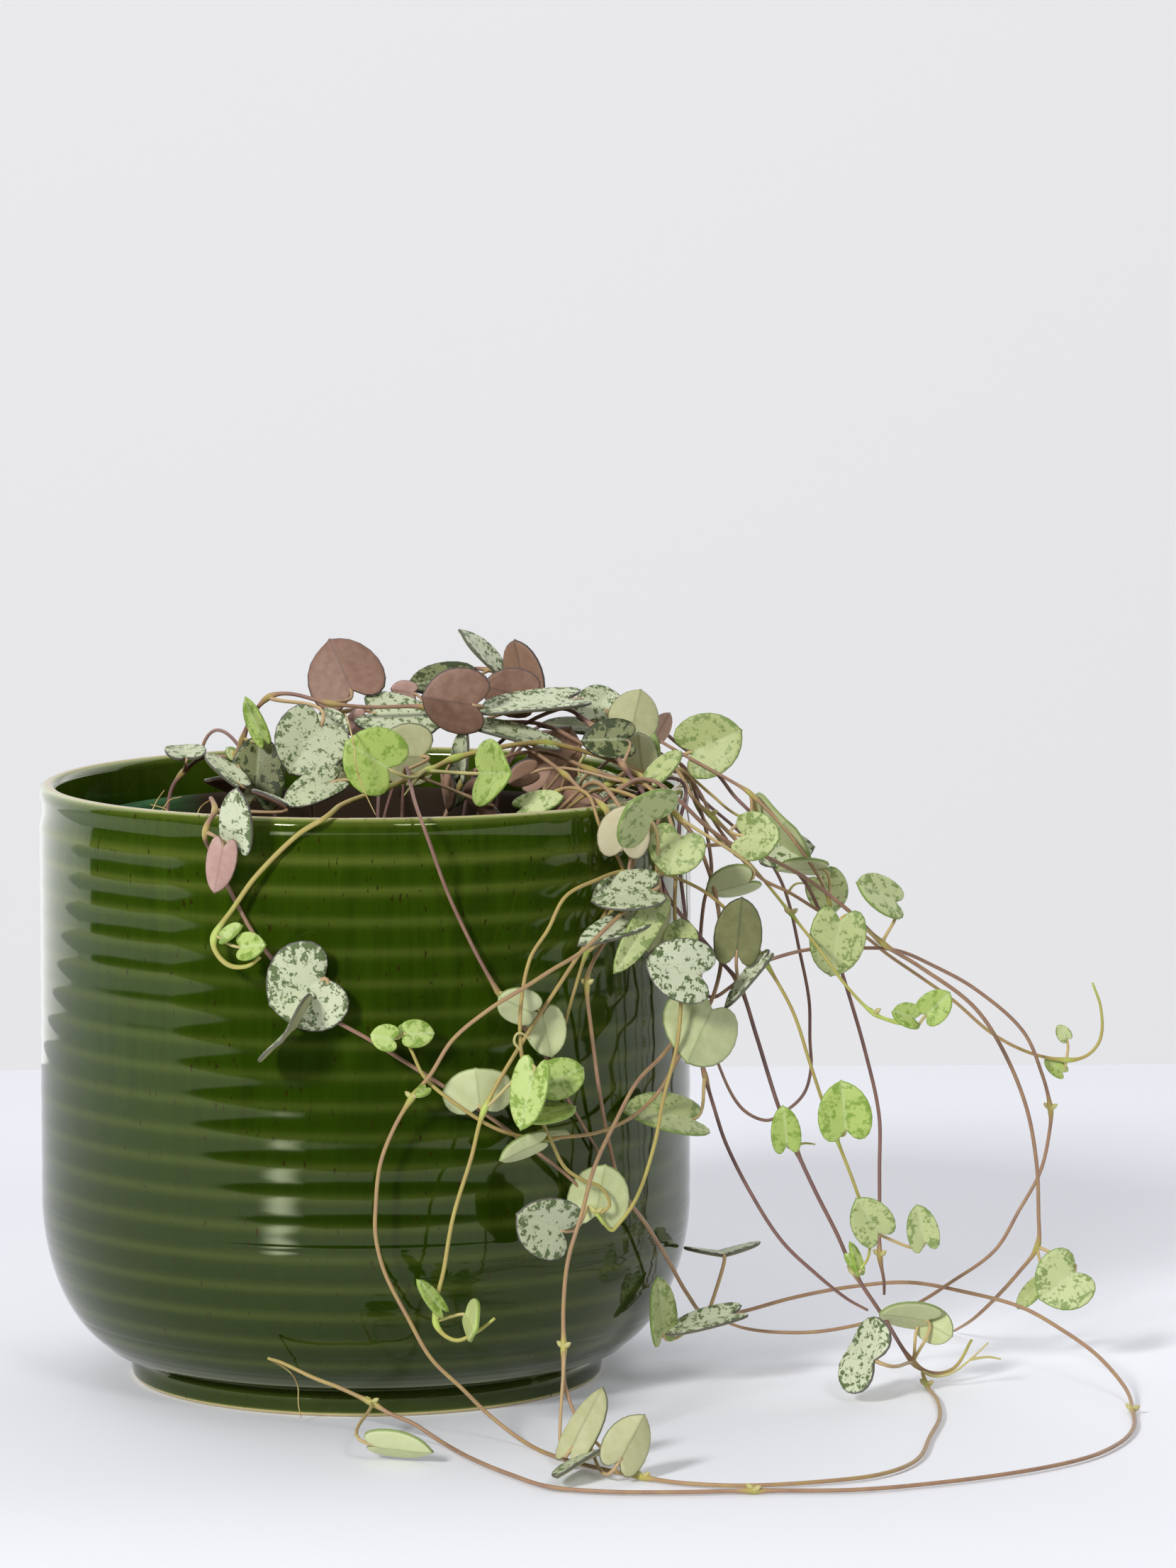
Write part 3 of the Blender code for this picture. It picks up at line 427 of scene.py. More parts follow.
# ------------------------------------------------------------------ the potting soil
# Peat, composted bark and a little perlite, filled to a finger's width below the rim and settled
# by watering into a loose, crumbly surface.
SOIL_TOP = 121
SOIL_FOOT = 12.8
SOIL_INSET = 1.7
SOIL_RINGS = 26
SOIL_STEPS = 120
SETTLING = (-0.9, 0.1)  # how far the surface has sunk or risen from one point to the next
CRUMB_COUNT = 420
CRUMB_RADII = (0.7, 2.2)
CRUMB_SHAPE = ((0.6, 1), (0.6, 1), (0.4, 0.7))  # shares of that across, along and up
PERLITE_SHARE = 0.06  # of the crumbs

# Peat and bark: dark, matt and grainy, with crumbs of two or three millimetres
peat, tree, shader = new_material("peat_and_bark", Roughness=0.95, Specular_IOR_Level=0.2)
coords = add_node(tree, "TexCoord").outputs["Object"]
crumbs = add_node(tree, "TexNoise", {"Vector": coords, "Scale": 380, "Detail": 6, "Roughness": 0.7})
browns = add_node(
    tree, "ValToRGB", {"Fac": crumbs.outputs["Fac"]},
    stops=[(0.3, "#120c08"), (0.55, "#2e2016"), (0.72, "#5a4330")],
)
paint(tree, shader, browns.outputs["Color"])
bump = add_node(tree, "Bump", {"Height": crumbs.outputs["Fac"], "Strength": 0.9, "Distance": 0.002})
tree.links.new(bump.outputs["Normal"], shader.inputs["Normal"])
# Perlite: volcanic glass blown up by heat to chalky white, and stained by the peat
perlite, tree, shader = new_material("expanded_perlite", Roughness=0.9)
coords = add_node(tree, "TexCoord").outputs["Object"]
pores = add_node(tree, "TexNoise", {"Vector": coords, "Scale": 900, "Detail": 3})
whites = add_node(
    tree, "ValToRGB", {"Fac": pores.outputs["Fac"]}, stops=[(0.3, "#a79c8a"), (0.7, "#ddd6c8")]
)
paint(tree, shader, whites.outputs["Color"])

draw = random.Random(7)
soil_edge = liner_radius(SOIL_TOP) - SOIL_INSET
rings = [(soil_edge * (ring / SOIL_RINGS), SOIL_TOP, 0) for ring in range(SOIL_RINGS + 1)]
rings += [(liner_radius(SOIL_FOOT) - SOIL_INSET, SOIL_FOOT, 0), (0, SOIL_FOOT, 0)]
shape = turned(rings, SOIL_STEPS)
for vert in shape.verts:
    reach = math.hypot(vert.co.x, vert.co.y) / (soil_edge * MM)
    if vert.co.z > (SOIL_TOP - 1) * MM and reach < 0.999:  # all but the ring along its edge
        vert.co.z += draw.uniform(*SETTLING) * MM
for number in range(CRUMB_COUNT):
    turn, reach = draw.uniform(0, math.tau), (soil_edge - 2) * math.sqrt(draw.random())
    size = draw.uniform(*CRUMB_RADII)
    white = draw.random() < PERLITE_SHARE
    made = bmesh.ops.create_icosphere(shape, subdivisions=1, radius=size * MM)
    place = Vector((reach * math.cos(turn), reach * math.sin(turn), SOIL_TOP - 0.2 * size)) * MM
    squash = Vector([draw.uniform(*shares) for shares in CRUMB_SHAPE])
    bmesh.ops.scale(shape, vec=squash, verts=made["verts"])
    bmesh.ops.translate(shape, vec=place, verts=made["verts"])
    for vert in made["verts"]:
        for face in vert.link_faces:
            face.material_index = int(white)
soil = finished("soil_crumbly", shape, [peat, perlite], smooth=False)
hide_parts("soil")
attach(soil, "root")

# ------------------------------------------------------------------ stems and leaves
# The plant climbs and trails on wiry stems about as thick as a matchstick's edge. At each node a
# pair of fleshy heart-shaped leaves stands on short stalks. A leaf is silver above with dark green
# marbling that crowds to its rim, or pale green while it is young. Below it is mauve or olive.
SAMPLES = 8  # along the smooth curve between two points of a route
STEM_DEPTH = 10.7  # of a stem's foot in its hole in the soil
STEM_RISE = 3  # straight up, before a stem sets out on its route
STEM_SIDES = 10
STEM_SHARE = 0.72  # of the CAD stem's radius, whose four sides stand for a round bar inside it
STALK_RADIUS = 0.42
STALK_LEAST = 0.75  # of that radius under the smallest leaf
STALK_GAIN = 60  # of leaf width, for a stalk to gain the whole radius
STALK_SHAPE = (1.25, 1.08, 1, 1, 1, 1, 1, 1, 1.08, 1.25)  # shares of its radius along a stalk
STALK_SIDES = 8
STALK_SWEEP = 0.4  # of its reach that a stalk runs in line with its blade
STALK_SINK = 0.9  # into the blade
NODE_REACH = 2.2  # how far a node's swelling spreads along the stem
NODE_SWELLING = 0.7  # of the stem's radius
TIP_SHARE = 0.72  # of its radius that a stem keeps at its tip
TIP_SLOPE = 60  # points of the line in which the taper would gain a whole radius
AGE_CURVE = 1.5  # the higher, the later along a stem its bark changes colour
NODE_TONE = 0.5  # how much fresher the bark is where a node swells
FRESH_FROM = 0.88  # the share of a stem's length where the colour of its tip begins
SHOOT_SHARE = 0.9  # of the main stem's radius
SHOOT_TONES = (-0.1, 0.15)  # at its foot and at its tip, against the main stem's tip
BUD_STEPS = (0, 0.6, 1.2, 1.7, 2.1)
BUD_RADII = (0.45, 0.6, 0.62, 0.42, 0.12)
BUD_TONE = 0.92
BLADE_THICKNESS = 1.0
# Half a blade from the notch to the tip: across as a share of half the width, along as a share of
# the length from notch to tip
HALF_HEART = [
    (0, 0), (0.1, -0.07), (0.26, -0.17), (0.46, -0.22), (0.66, -0.2), (0.83, -0.11), (0.95, 0.05),
    (1.0, 0.24), (0.97, 0.43), (0.87, 0.61), (0.7, 0.77), (0.48, 0.89), (0.25, 0.965), (0.08, 1.0),
    (0, 1.03),
]
BLADE_CENTRE = Vector((0, 0.36, 0))
# (share of the way out to the rim, share of the full thickness)
BLADE_RINGS = [(0.985, 0.55), (0.955, 0.85), (0.87, 1), (0.7, 1), (0.5, 1), (0.3, 1), (0.14, 1)]
BLADE_MARKS = ("rim", "tone", "midrib")  # what the finishes read at each point, besides "flat"


def leaf_blank():
    """A flat blade, one unit long and two wide, with its rim rounded. Its upper side is +Z."""
    shape = bmesh.new()
    layer = shape.verts.layers.float.new("rim")
    half = [shape.verts.new((x, y, 0)) for x, y in HALF_HEART]
    other = [shape.verts.new((-x, y, 0)) for x, y in reversed(HALF_HEART[1:-1])]
    ring_verts = half + other
    for vert in ring_verts:
        vert[layer] = 1
    ring = [shape.edges.new(pair) for pair in zip(ring_verts, ring_verts[1:] + ring_verts[:1])]
    out = 1
    for share, height in BLADE_RINGS:
        grown = bmesh.ops.extrude_edge_only(shape, edges=ring)["geom"]
        ring_verts = [part for part in grown if isinstance(part, bmesh.types.BMVert)]
        inner = set(ring_verts)
        ring = [
            part for part in grown
            if isinstance(part, bmesh.types.BMEdge) and inner.issuperset(part.verts)
        ]
        bmesh.ops.scale(
            shape, vec=(share / out, share / out, 1), space=Matrix.Translation(-BLADE_CENTRE),
            verts=ring_verts,
        )
        for vert in ring_verts:
            vert.co.z = height / 2
            vert[layer] = share
        out = share
    bmesh.ops.pointmerge(shape, verts=ring_verts, merge_co=BLADE_CENTRE + Vector((0, 0, 0.5)))
    upper = shape.verts[:] + shape.edges[:] + shape.faces[:]
    bmesh.ops.mirror(shape, geom=upper, axis="Z", merge_dist=1e-5)
    bmesh.ops.recalc_face_normals(shape, faces=shape.faces)
    for face in shape.faces:
        face.material_index = int(face.calc_center_median().z < 0)
    return shape


LEAF_BLANK = leaf_blank()


def leaf_material(name, ground, marbling, scale, crowd, soft, rim_code, shine):
    """A blade's skin: marbling over a ground colour, closer towards the rim. The pattern follows
    the blade by its own flat coordinates, in millimetres."""
    material, tree, shader = new_material(name, Roughness=shine, IOR=1.42)
    flat = add_node(tree, "Attribute", attribute_name="flat").outputs["Vector"]
    rim, tone, midrib = [
        add_node(tree, "Attribute", attribute_name=mark).outputs["Fac"] for mark in BLADE_MARKS
    ]
    blots = add_node(tree, "TexNoise", {"Vector": flat, "Scale": scale, "Detail": 4, "Roughness": 0.62})
    patches = add_node(tree, "TexNoise", {"Vector": flat, "Scale": scale * 0.36, "Detail": 1})
    near = add_node(tree, "MapRange", {"Value": rim, 1: 0.45, 2: 1, 3: crowd[0], 4: crowd[1]})
    both = add_node(
        tree, "Math", {0: blots.outputs["Fac"], 1: patches.outputs["Fac"]}, operation="ADD"
    )
    over = add_node(tree, "Math", {0: both.outputs[0], 1: near.outputs[0]}, operation="SUBTRACT")
    mask = add_node(tree, "MapRange", {"Value": over.outputs[0], 1: -soft, 2: soft})
    crease = add_node(tree, "MapRange", {"Value": midrib, 1: 0.1, 2: 0.45, 3: 0.3, 4: 0})
    edge = add_node(tree, "MapRange", {"Value": rim, 1: 0.95, 2: 0.99})
    paint(
        tree, shader, linear(ground[0]),
        [
            (tone, ground[1]), (mask.outputs[0], marbling), (crease.outputs[0], "#cdd6ac"),
            (edge.outputs[0], rim_code),
        ],
    )
    skin = add_node(tree, "TexNoise", {"Vector": flat, "Scale": 2.2, "Detail": 2})
    bump = add_node(tree, "Bump", {"Height": skin.outputs["Fac"], "Strength": 0.25, "Distance": 0.0003})
    tree.links.new(bump.outputs["Normal"], shader.inputs["Normal"])
    return material


def under_material(name, ground, cloud_code, rim_code):
    """The underside: an even, matt skin with pale clouds and a faint midrib."""
    material, tree, shader = new_material(name, Roughness=0.55, IOR=1.4)
    flat = add_node(tree, "Attribute", attribute_name="flat").outputs["Vector"]
    rim, tone, midrib = [
        add_node(tree, "Attribute", attribute_name=mark).outputs["Fac"] for mark in BLADE_MARKS
    ]
    mottle = add_node(tree, "TexNoise", {"Vector": flat, "Scale": 0.5, "Detail": 3})
    cloud = add_node(tree, "MapRange", {"Value": mottle.outputs["Fac"], 1: 0.35, 2: 0.7, 4: 0.5})
    crease = add_node(tree, "MapRange", {"Value": midrib, 1: 0.1, 2: 0.4, 3: 0.38, 4: 0})
    edge = add_node(tree, "MapRange", {"Value": rim, 1: 0.95, 2: 0.99})
    paint(
        tree, shader, linear(ground[0]),
        [
            (tone, ground[1]), (cloud.outputs[0], cloud_code), (crease.outputs[0], rim_code),
            (edge.outputs[0], rim_code),
        ],
    )
    return material


# A stem's bark goes from dusky purple at the old end through pinkish tan to lime at the growing
# tip. It is finely flecked, with a dull sheen.
bark, tree, shader = new_material("stem_bark", Roughness=0.5, IOR=1.42)
coords = add_node(tree, "TexCoord").outputs["Object"]
age = add_node(tree, "Attribute", attribute_name="tone").outputs["Fac"]
fleck = add_node(tree, "TexNoise", {"Vector": coords, "Scale": 260, "Detail": 3})
waver = add_node(tree, "MapRange", {"Value": fleck.outputs["Fac"], 1: 0.3, 2: 0.7, 3: -0.07, 4: 0.07})
aged = add_node(tree, "Math", {0: age, 1: waver.outputs[0]}, operation="ADD")
barks = add_node(
    tree, "ValToRGB", {"Fac": aged.outputs[0]},
    stops=[
        (0.05, "#6f5558"), (0.25, "#8d6a60"), (0.45, "#a98868"), (0.62, "#b29b5e"), (0.8, "#b3ad5c"),
        (0.97, "#b7c765"),
    ],
)
paint(tree, shader, barks.outputs["Color"])

# Leaf stalks are fleshier and smoother than the stems. They go from dusky pink through cream to
# lime by the kind of leaf, with a tan blush.
stalk, tree, shader = new_material("stalk_flesh", Roughness=0.42, IOR=1.4)
coords = add_node(tree, "TexCoord").outputs["Object"]
age = add_node(tree, "Attribute", attribute_name="tone").outputs["Fac"]
stalks = add_node(
    tree, "ValToRGB", {"Fac": age},
    stops=[(0.1, "#8d6a5c"), (0.4, "#c09c78"), (0.7, "#cdb878"), (0.95, "#c3cd7c")],
)
blush = add_node(tree, "TexNoise", {"Vector": coords, "Scale": 160, "Detail": 2})
paint(tree, shader, stalks.outputs["Color"], [(blush.outputs["Fac"], "#bda37a")])

# The skins of the blades: silver, green and lime ones as they age, and a darker copy with painted shade
# for leaves deep among the others
silver_top = leaf_material(
    "silver_leaf_skin", ("#bdc4a0", "#d0d7b8"), "#5f7044", 1.75, (1.13, 0.99), 0.04, "#625c58", 0.5
)
green_top = leaf_material(
    "young_leaf_skin", ("#b5c080", "#c5d096"), "#869a58", 1.35, (1.14, 1.02), 0.06, "#7f9a4c", 0.45
)
lime_top = leaf_material(
    "newest_leaf_skin", ("#a9bf62", "#bdd080"), "#83a042", 1.1, (1.12, 1.0), 0.09, "#8fae4a", 0.42
)
# painted shade: darker copies of the leaf skins, for leaves that lie in the shade of others
deep_top = leaf_material(
    "shaded_leaf_skin", ("#6d7348", "#858a5e"), "#37431c", 1.0, (1.1, 0.92), 0.03, "#3d3f30", 0.45
)
mauve_under = under_material("mauve_underside", ("#6c4a42", "#b18c75"), "#ab8a76", "#4d4644")
pink_under = under_material("pink_underside", ("#b08a80", "#c49f92"), "#cbaea2", "#8d6a66")
olive_under = under_material("olive_underside", ("#afb07e", "#bfc094"), "#c8caa2", "#6d6f52")
deep_under = under_material("shaded_underside", ("#6f7247", "#838655"), "#8f9163", "#3d3f30")
beige_under = under_material("beige_underside", ("#b3a884", "#c9c09c"), "#d2cbab", "#7d7558")
pale_under = under_material("pale_green_underside", ("#bec890", "#ccd4a0"), "#d8dcb2", "#8b9a5e")
lime_under = under_material("lime_underside", ("#b9c778", "#c6d289"), "#d0d99a", "#9db25a")
# Each kind of leaf has its upper skin, its underside and the tone of its stalk
KINDS = {
    "purple": (silver_top, mauve_under, 0.25), "silver": (silver_top, olive_under, 0.5),
    "green": (green_top, pale_under, 0.7), "lime": (lime_top, lime_under, 0.9),
    "deep": (deep_top, deep_under, 0.3), "beige": (silver_top, beige_under, 0.5),
    "pink": (silver_top, pink_under, 0.25),
}
PLANT_MATERIALS = [bark, stalk] + [skin for kind in KINDS.values() for skin in kind[:2]]
BARK_SLOT, STALK_SLOT = 0, 1
LEAF_SLOTS = {kind: 2 + 2 * number for number, kind in enumerate(KINDS)}


def plant_shape():
    """An empty bmesh with room for the marks that the plant's finishes read."""
    shape = bmesh.new()
    for mark in BLADE_MARKS:
        shape.verts.layers.float.new(mark)
    shape.verts.layers.float_vector.new("flat")
    return shape


def smooth_line(route):
    """Points along a smooth curve through a route, in metres, SAMPLES to each span."""
    knots = [Vector(point) * MM for point in route]
    before = knots[0] * 2 - knots[1]
    after = knots[-1] * 2 - knots[-2]
    ends = [before, *knots, after]
    line = []
    for a, b, c, d in zip(ends, ends[1:], ends[2:], ends[3:]):
        reach = (c - b).length / 3
        leave = b + (c - a).normalized() * reach
        arrive = c - (d - b).normalized() * reach
        line += interpolate_bezier(b, leave, arrive, c, SAMPLES + 1)[:-1]
    return line + [knots[-1]]


def swelling(line, nodes, size):
    """How much thicker a stem is at each point of its line, for the nodes' places on it."""
    travelled = [0]
    for here, there in zip(line, line[1:]):
        travelled.append(travelled[-1] + (there - here).length)
    reach = NODE_REACH * MM
    return [
        1 + sum(size * math.exp(-(((far - travelled[node]) / reach) ** 2)) for node in nodes)
        for far in travelled
    ]


def add_bar(shape, line, radii, tones, sides, slot):
    """Adds a round bar along a line to a bmesh, each ring with its radius and tone."""
    curve = bpy.data.curves.new("bar", "CURVE")
    curve.dimensions = "3D"
    curve.bevel_depth = MM
    curve.bevel_resolution = sides // 2 - 2
    spline = curve.splines.new("POLY")
    spline.points.add(len(line) - 1)
    for knot, point, radius in zip(spline.points, line, radii):
        knot.co = (*point, 1)
        knot.radius = radius
    rod = bpy.data.objects.new("bar", curve)
    bpy.context.scene.collection.objects.link(rod)
    mesh = bpy.data.meshes.new_from_object(rod.evaluated_get(bpy.context.evaluated_depsgraph_get()))
    bpy.data.objects.remove(rod)
    layer = mesh.attributes.new("tone", "FLOAT", "POINT")
    layer.data.foreach_set("value", [tone for tone in tones for side in range(sides)])
    bar = bmesh.new()
    bar.from_mesh(mesh)
    bmesh.ops.holes_fill(bar, edges=[edge for edge in bar.edges if edge.is_boundary])
    bmesh.ops.recalc_face_normals(bar, faces=bar.faces)
    for face in bar.faces:
        face.material_index = slot
    bar.to_mesh(mesh)
    bar.free()
    shape.from_mesh(mesh)
    bpy.data.meshes.remove(mesh)


def add_leaf(shape, base, tip, width, facing, kind, seed):
    """Adds a heart-shaped blade, its notch at base and its upper side turned to facing."""
    draw = random.Random(seed)
    along = tip - base
    length, half = along.length, width * MM / 2
    forward = along.normalized()
    across = forward.cross(Vector(facing)).normalized()
    place = Matrix((across, forward, across.cross(forward))).transposed().to_4x4()
    place.translation = base
    fold = math.tan(math.radians(draw.uniform(5, 15)))
    droop = draw.uniform(-0.03, 0.12)  # of the blade's length, at its tip
    wave = draw.uniform(0.0, 0.035)  # of its width, at its rim
    phase = draw.uniform(0, math.tau)
    # the blade's own place in the marbling
    seat = Vector((draw.uniform(0, 900), draw.uniform(0, 900), draw.uniform(0, 90)))
    tone = draw.random()
    blade = LEAF_BLANK.copy()
    rim = blade.verts.layers.float["rim"]
    flat = blade.verts.layers.float_vector.new("flat")
    toned = blade.verts.layers.float.new("tone")
    midrib = blade.verts.layers.float.new("midrib")
    for vert in blade.verts:
        x, y = vert.co.x * half, vert.co.y * length
        vert[midrib] = abs(x) / MM
        vert[flat] = Vector((x / MM, y / MM, 0)) + seat
        vert[toned] = tone
        turn = math.atan2(vert.co.x, vert.co.y - BLADE_CENTRE.y)
        lift = abs(x) * fold - droop * length * (vert.co.y - 0.1) ** 2
        lift += wave * width * MM * vert[rim] ** 2 * math.sin(3 * turn + phase)
        vert.co = (x, y, vert.co.z * BLADE_THICKNESS * MM + lift)
    slot = LEAF_SLOTS[kind]
    for face in blade.faces:
        face.material_index += slot
    bmesh.ops.transform(blade, matrix=place, verts=blade.verts)
    mesh = bpy.data.meshes.new("blade")
    blade.to_mesh(mesh)
    blade.free()
    shape.from_mesh(mesh)
    bpy.data.meshes.remove(mesh)


def grow(name, radius, root, route, leaves, shoot=None, tones=(0.3, 0.5), bare=()):
    """One stem with its leaves, standing in its hole in the soil.

    leaves are (point of the route, notch, tip, width, facing, kind); a shoot is the point it leaves
    the route at, and its own route, whose points count on from the route's. tones are the bark's
    at the stem's foot and at its tip. bare are the points where a node has lost its leaves and
    carries a pair of small buds.
    """
    shape = plant_shape()
    foot = (*root, SOIL_TOP - STEM_DEPTH)
    line = smooth_line([foot, (*root, SOIL_TOP + STEM_RISE)] + route)
    knots = [(number + 2) * SAMPLES for number in range(len(route))]
    used = {leaf[0] for leaf in leaves} | set(bare)
    places = list(route)

    def stem(line, nodes, thick, low, high, tip=None):
        tip = high if tip is None else tip
        thick *= STEM_SHARE
        swell = swelling(line, nodes, NODE_SWELLING)
        last = len(line) - 1
        radii = [
            thick * grown * min(1, TIP_SHARE + (last - n) / TIP_SLOPE) for n, grown in enumerate(swell)
        ]
        shades = [
            low + (high - low) * (n / last) ** AGE_CURVE + NODE_TONE * (grown - 1)
            + (tip - high) * max(0, (n / last - FRESH_FROM) / (1 - FRESH_FROM))
            for n, grown in enumerate(swell)
        ]
        add_bar(shape, line, radii, shades, STEM_SIDES, BARK_SLOT)

    stem(line, [knots[node] for node in used if node < len(route)], radius, *tones)
    if shoot:
        start, side_route = shoot
        side_line = smooth_line([route[start]] + side_route)
        side_nodes = [(node - len(route) + 1) * SAMPLES for node in used if node >= len(route)]
        low, high = (tones[1] + step for step in SHOOT_TONES)
        stem(side_line, side_nodes, radius * SHOOT_SHARE, low, high)
        places += side_route
    for point in bare:
        for side in (-1, 1):
            bud = Vector(places[point]) * MM
            out = Vector((side * 0.7, -0.5 * side, 0.6)) * MM
            line = [bud + out * step for step in BUD_STEPS]
            add_bar(shape, line, BUD_RADII, [BUD_TONE] * len(line), STALK_SIDES, STALK_SLOT)
    for number, (point, base, tip, width, facing, kind) in enumerate(leaves):
        start, base, tip = (Vector(place) * MM for place in (places[point], base, tip))
        forward = (tip - base).normalized()
        reach = (base - start).length * STALK_SWEEP
        end = base + forward * STALK_SINK * MM
        away = start.lerp(base, 0.3)
        bend = interpolate_bezier(start, away, base - forward * reach, end, len(STALK_SHAPE))
        thick = STALK_RADIUS * (STALK_LEAST + width / STALK_GAIN)
        radii = [thick * share for share in STALK_SHAPE]
        add_bar(shape, bend, radii, [KINDS[kind][2]] * len(bend), STALK_SIDES, STALK_SLOT)
        add_leaf(shape, base, tip, width, facing, kind, f"{name} {number}")
    piece = finished(name + "_leafy", shape, PLANT_MATERIALS)
    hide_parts(name)
    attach(piece, "root")


# The arching stem: up on the left, across the top and down the front to a hooked tip
grow("vine_01", 0.65, (-46, 8), [
    (-45, 8, 134), (-42, 6, 139), (-37, 2, 143), (-30, -3, 144), (-28, -5, 148), (-26, -7, 153),
    (-22, -10, 158), (-17, -12, 159), (-8, -14, 157), (1, -13, 156), (14, -13, 156), (23, -14, 154),
    (36, -21, 148), (45, -37, 143), (49, -48, 140), (53, -57, 138), (56, -55, 133), (60, -50, 127),
    (58, -55, 122), (52, -62, 113), (44, -69, 102), (35, -74, 89), (26, -79, 74), (23, -79, 63),
    (19, -84, 51), (17, -85, 40), (15, -86, 28), (19, -87, 24), (24, -88, 26), (28, -88, 29),
], [
    (8, (-3, -5, 159), (-8, 1, 170), 18, (0, 5, -1), "purple"),
    (4, (-23, -12, 149), (-27, -10, 158), 5.5, (-1, -1, 0), "lime"),
    (6, (-10, -28, 153), (-17, -31, 143), 17, (0, -6, 2), "silver"),
    (1, (-41, 0, 143), (-42, 9, 145), 9.7, (0, -1, 6), "silver"),
    (3, (-29, -24, 140), (-36, -18, 146), 7, (1, -1, 2), "silver"),
    (10, (25, -29, 158), (13, -29, 160), 16, (0, 6, 1), "purple"),
    (15, (57, -60, 129), (58, -62, 139), 12, (0, 6, 1), "beige"),
    (22, (25, -76, 74), (24, -79, 83), 16, (0, 6, -1), "green"),
    (22, (37, -82, 83), (34, -83, 70), 9.5, (-2, -3, 0), "lime"),
    (26, (16, -87, 31), (11, -90, 38), 4, (2, -1, -1), "lime"),
    (26, (22, -84, 29), (24, -94, 27), 9, (3, -1, -1), "lime"),
    (3, (-25, -10, 135), (-24, -7, 149), 13, (0, -5, 1), "deep"),
    (3, (-30, -13, 137), (-36, -21, 141), 6, (0, 1, 2), "purple"),
    (13, (45, -34, 137), (55, -33, 135), 7, (0, 3, 1), "purple"),
], tones=(0.2, 0.85))

# The brown stem from the left of the lip, slanting down the front
grow("vine_02", 0.65, (-34, -36), [
    (-33, -54, 135), (-34, -63, 141), (-33, -69, 139), (-35, -74, 135), (-34, -69, 130),
    (-30, -71, 122), (-23, -74, 110), (-10, -78, 96), (1, -77, 89), (13, -75, 81), (26, -73, 72),
    (37, -68, 63), (45, -64, 56), (50, -60, 50),
], [
    (3, (-28, -76, 133), (-28, -80, 145), 9, (-2, -3, 0), "silver"),
    (3, (-31, -78, 132), (-33, -78, 122), 7, (1, 4, 0), "pink"),
    (7, (-9, -78, 103), (-21, -77, 97), 21, (0, -1, 0), "silver"),
    (7, (-16, -78, 92), (-19, -91, 91), 19, (-3, -1, 2), "silver"),
    (2, (-18, -61, 139), (-25, -58, 142), 7, (-1, 1, 3), "purple"),
    (13, (51, -62, 47), (53, -64, 59), 14, (0, 6, 1), "green"),
    (13, (43, -75, 46), (33, -82, 51), 14.5, (0, -1, 0), "silver"),
], tones=(0.3, 0.4), bare=(13,))

# The brown stem over the middle of the lip
grow("vine_03", 0.6, (8, -34), [
    (9, -46, 145), (10, -62, 144), (11, -74, 141), (13, -81, 136), (19, -75, 119), (29, -72, 99),
    (40, -66, 83), (45, -62, 73), (52, -56, 60),
], [
    (0, (13, -34, 147), (2, -34, 147), 15, (0, 6, 1), "silver"),
    (0, (28, -43, 137), (22, -37, 139), 11, (0, 4, 2), "purple"),
    (5, (36, -75, 95), (29, -78, 99), 9, (0, 6, 1), "green"),
    (5, (39, -69, 93), (41, -69, 84), 9.5, (0, 6, 1), "green"),
], tones=(0.25, 0.35))

# The thick olive stem that runs left along the top and curls round its young leaves
grow("vine_04", 0.8, (46, -8), [
    (55, -29, 140), (66, -20, 139), (60, -22, 143), (52, -22, 146), (41, -26, 149), (30, -35, 149),
    (20, -39, 147), (14, -46, 145), (4, -55, 142), (-5, -67, 140), (-9, -76, 138), (-15, -74, 134),
    (-24, -74, 125), (-29, -74, 118), (-33, -74, 112), (-33, -76, 109), (-30, -78, 106),
    (-26, -80, 106), (-23, -80, 108),
], [
    (0, (59, 1, 134), (50, 0, 135), 9.5, (0, -3, 1), "silver"),
    (7, (26, -52, 145), (32, -60, 146), 15.5, (-8, -5, 2), "lime"),
    (7, (5, -67, 148), (-4, -69, 154), 15.5, (0, -6, 1), "lime"),
    (14, (-31, -77, 112), (-27, -80, 115), 4, (0, -2, 2), "lime"),
    (14, (-27, -79, 110), (-22, -82, 111), 6.5, (0, -3, 1), "lime"),
    (1, (64, -16, 140), (66, -18, 150), 6.5, (-1, -1, 0), "green"),
    (8, (-7, -49, 143), (-18, -53, 139), 9, (0, -3, 3), "silver"),
    (4, (40, -24, 149), (19, -22, 155), 9, (1, -1.2, 4), "silver"),
    (6, (18, -36, 142), (19, -37, 135), 6, (2, 1, 0), "purple"),
    (1, (63, -20, 142), (62, -21, 151), 8, (0, 6, 1), "silver"),
], tones=(0.55, 0.85))

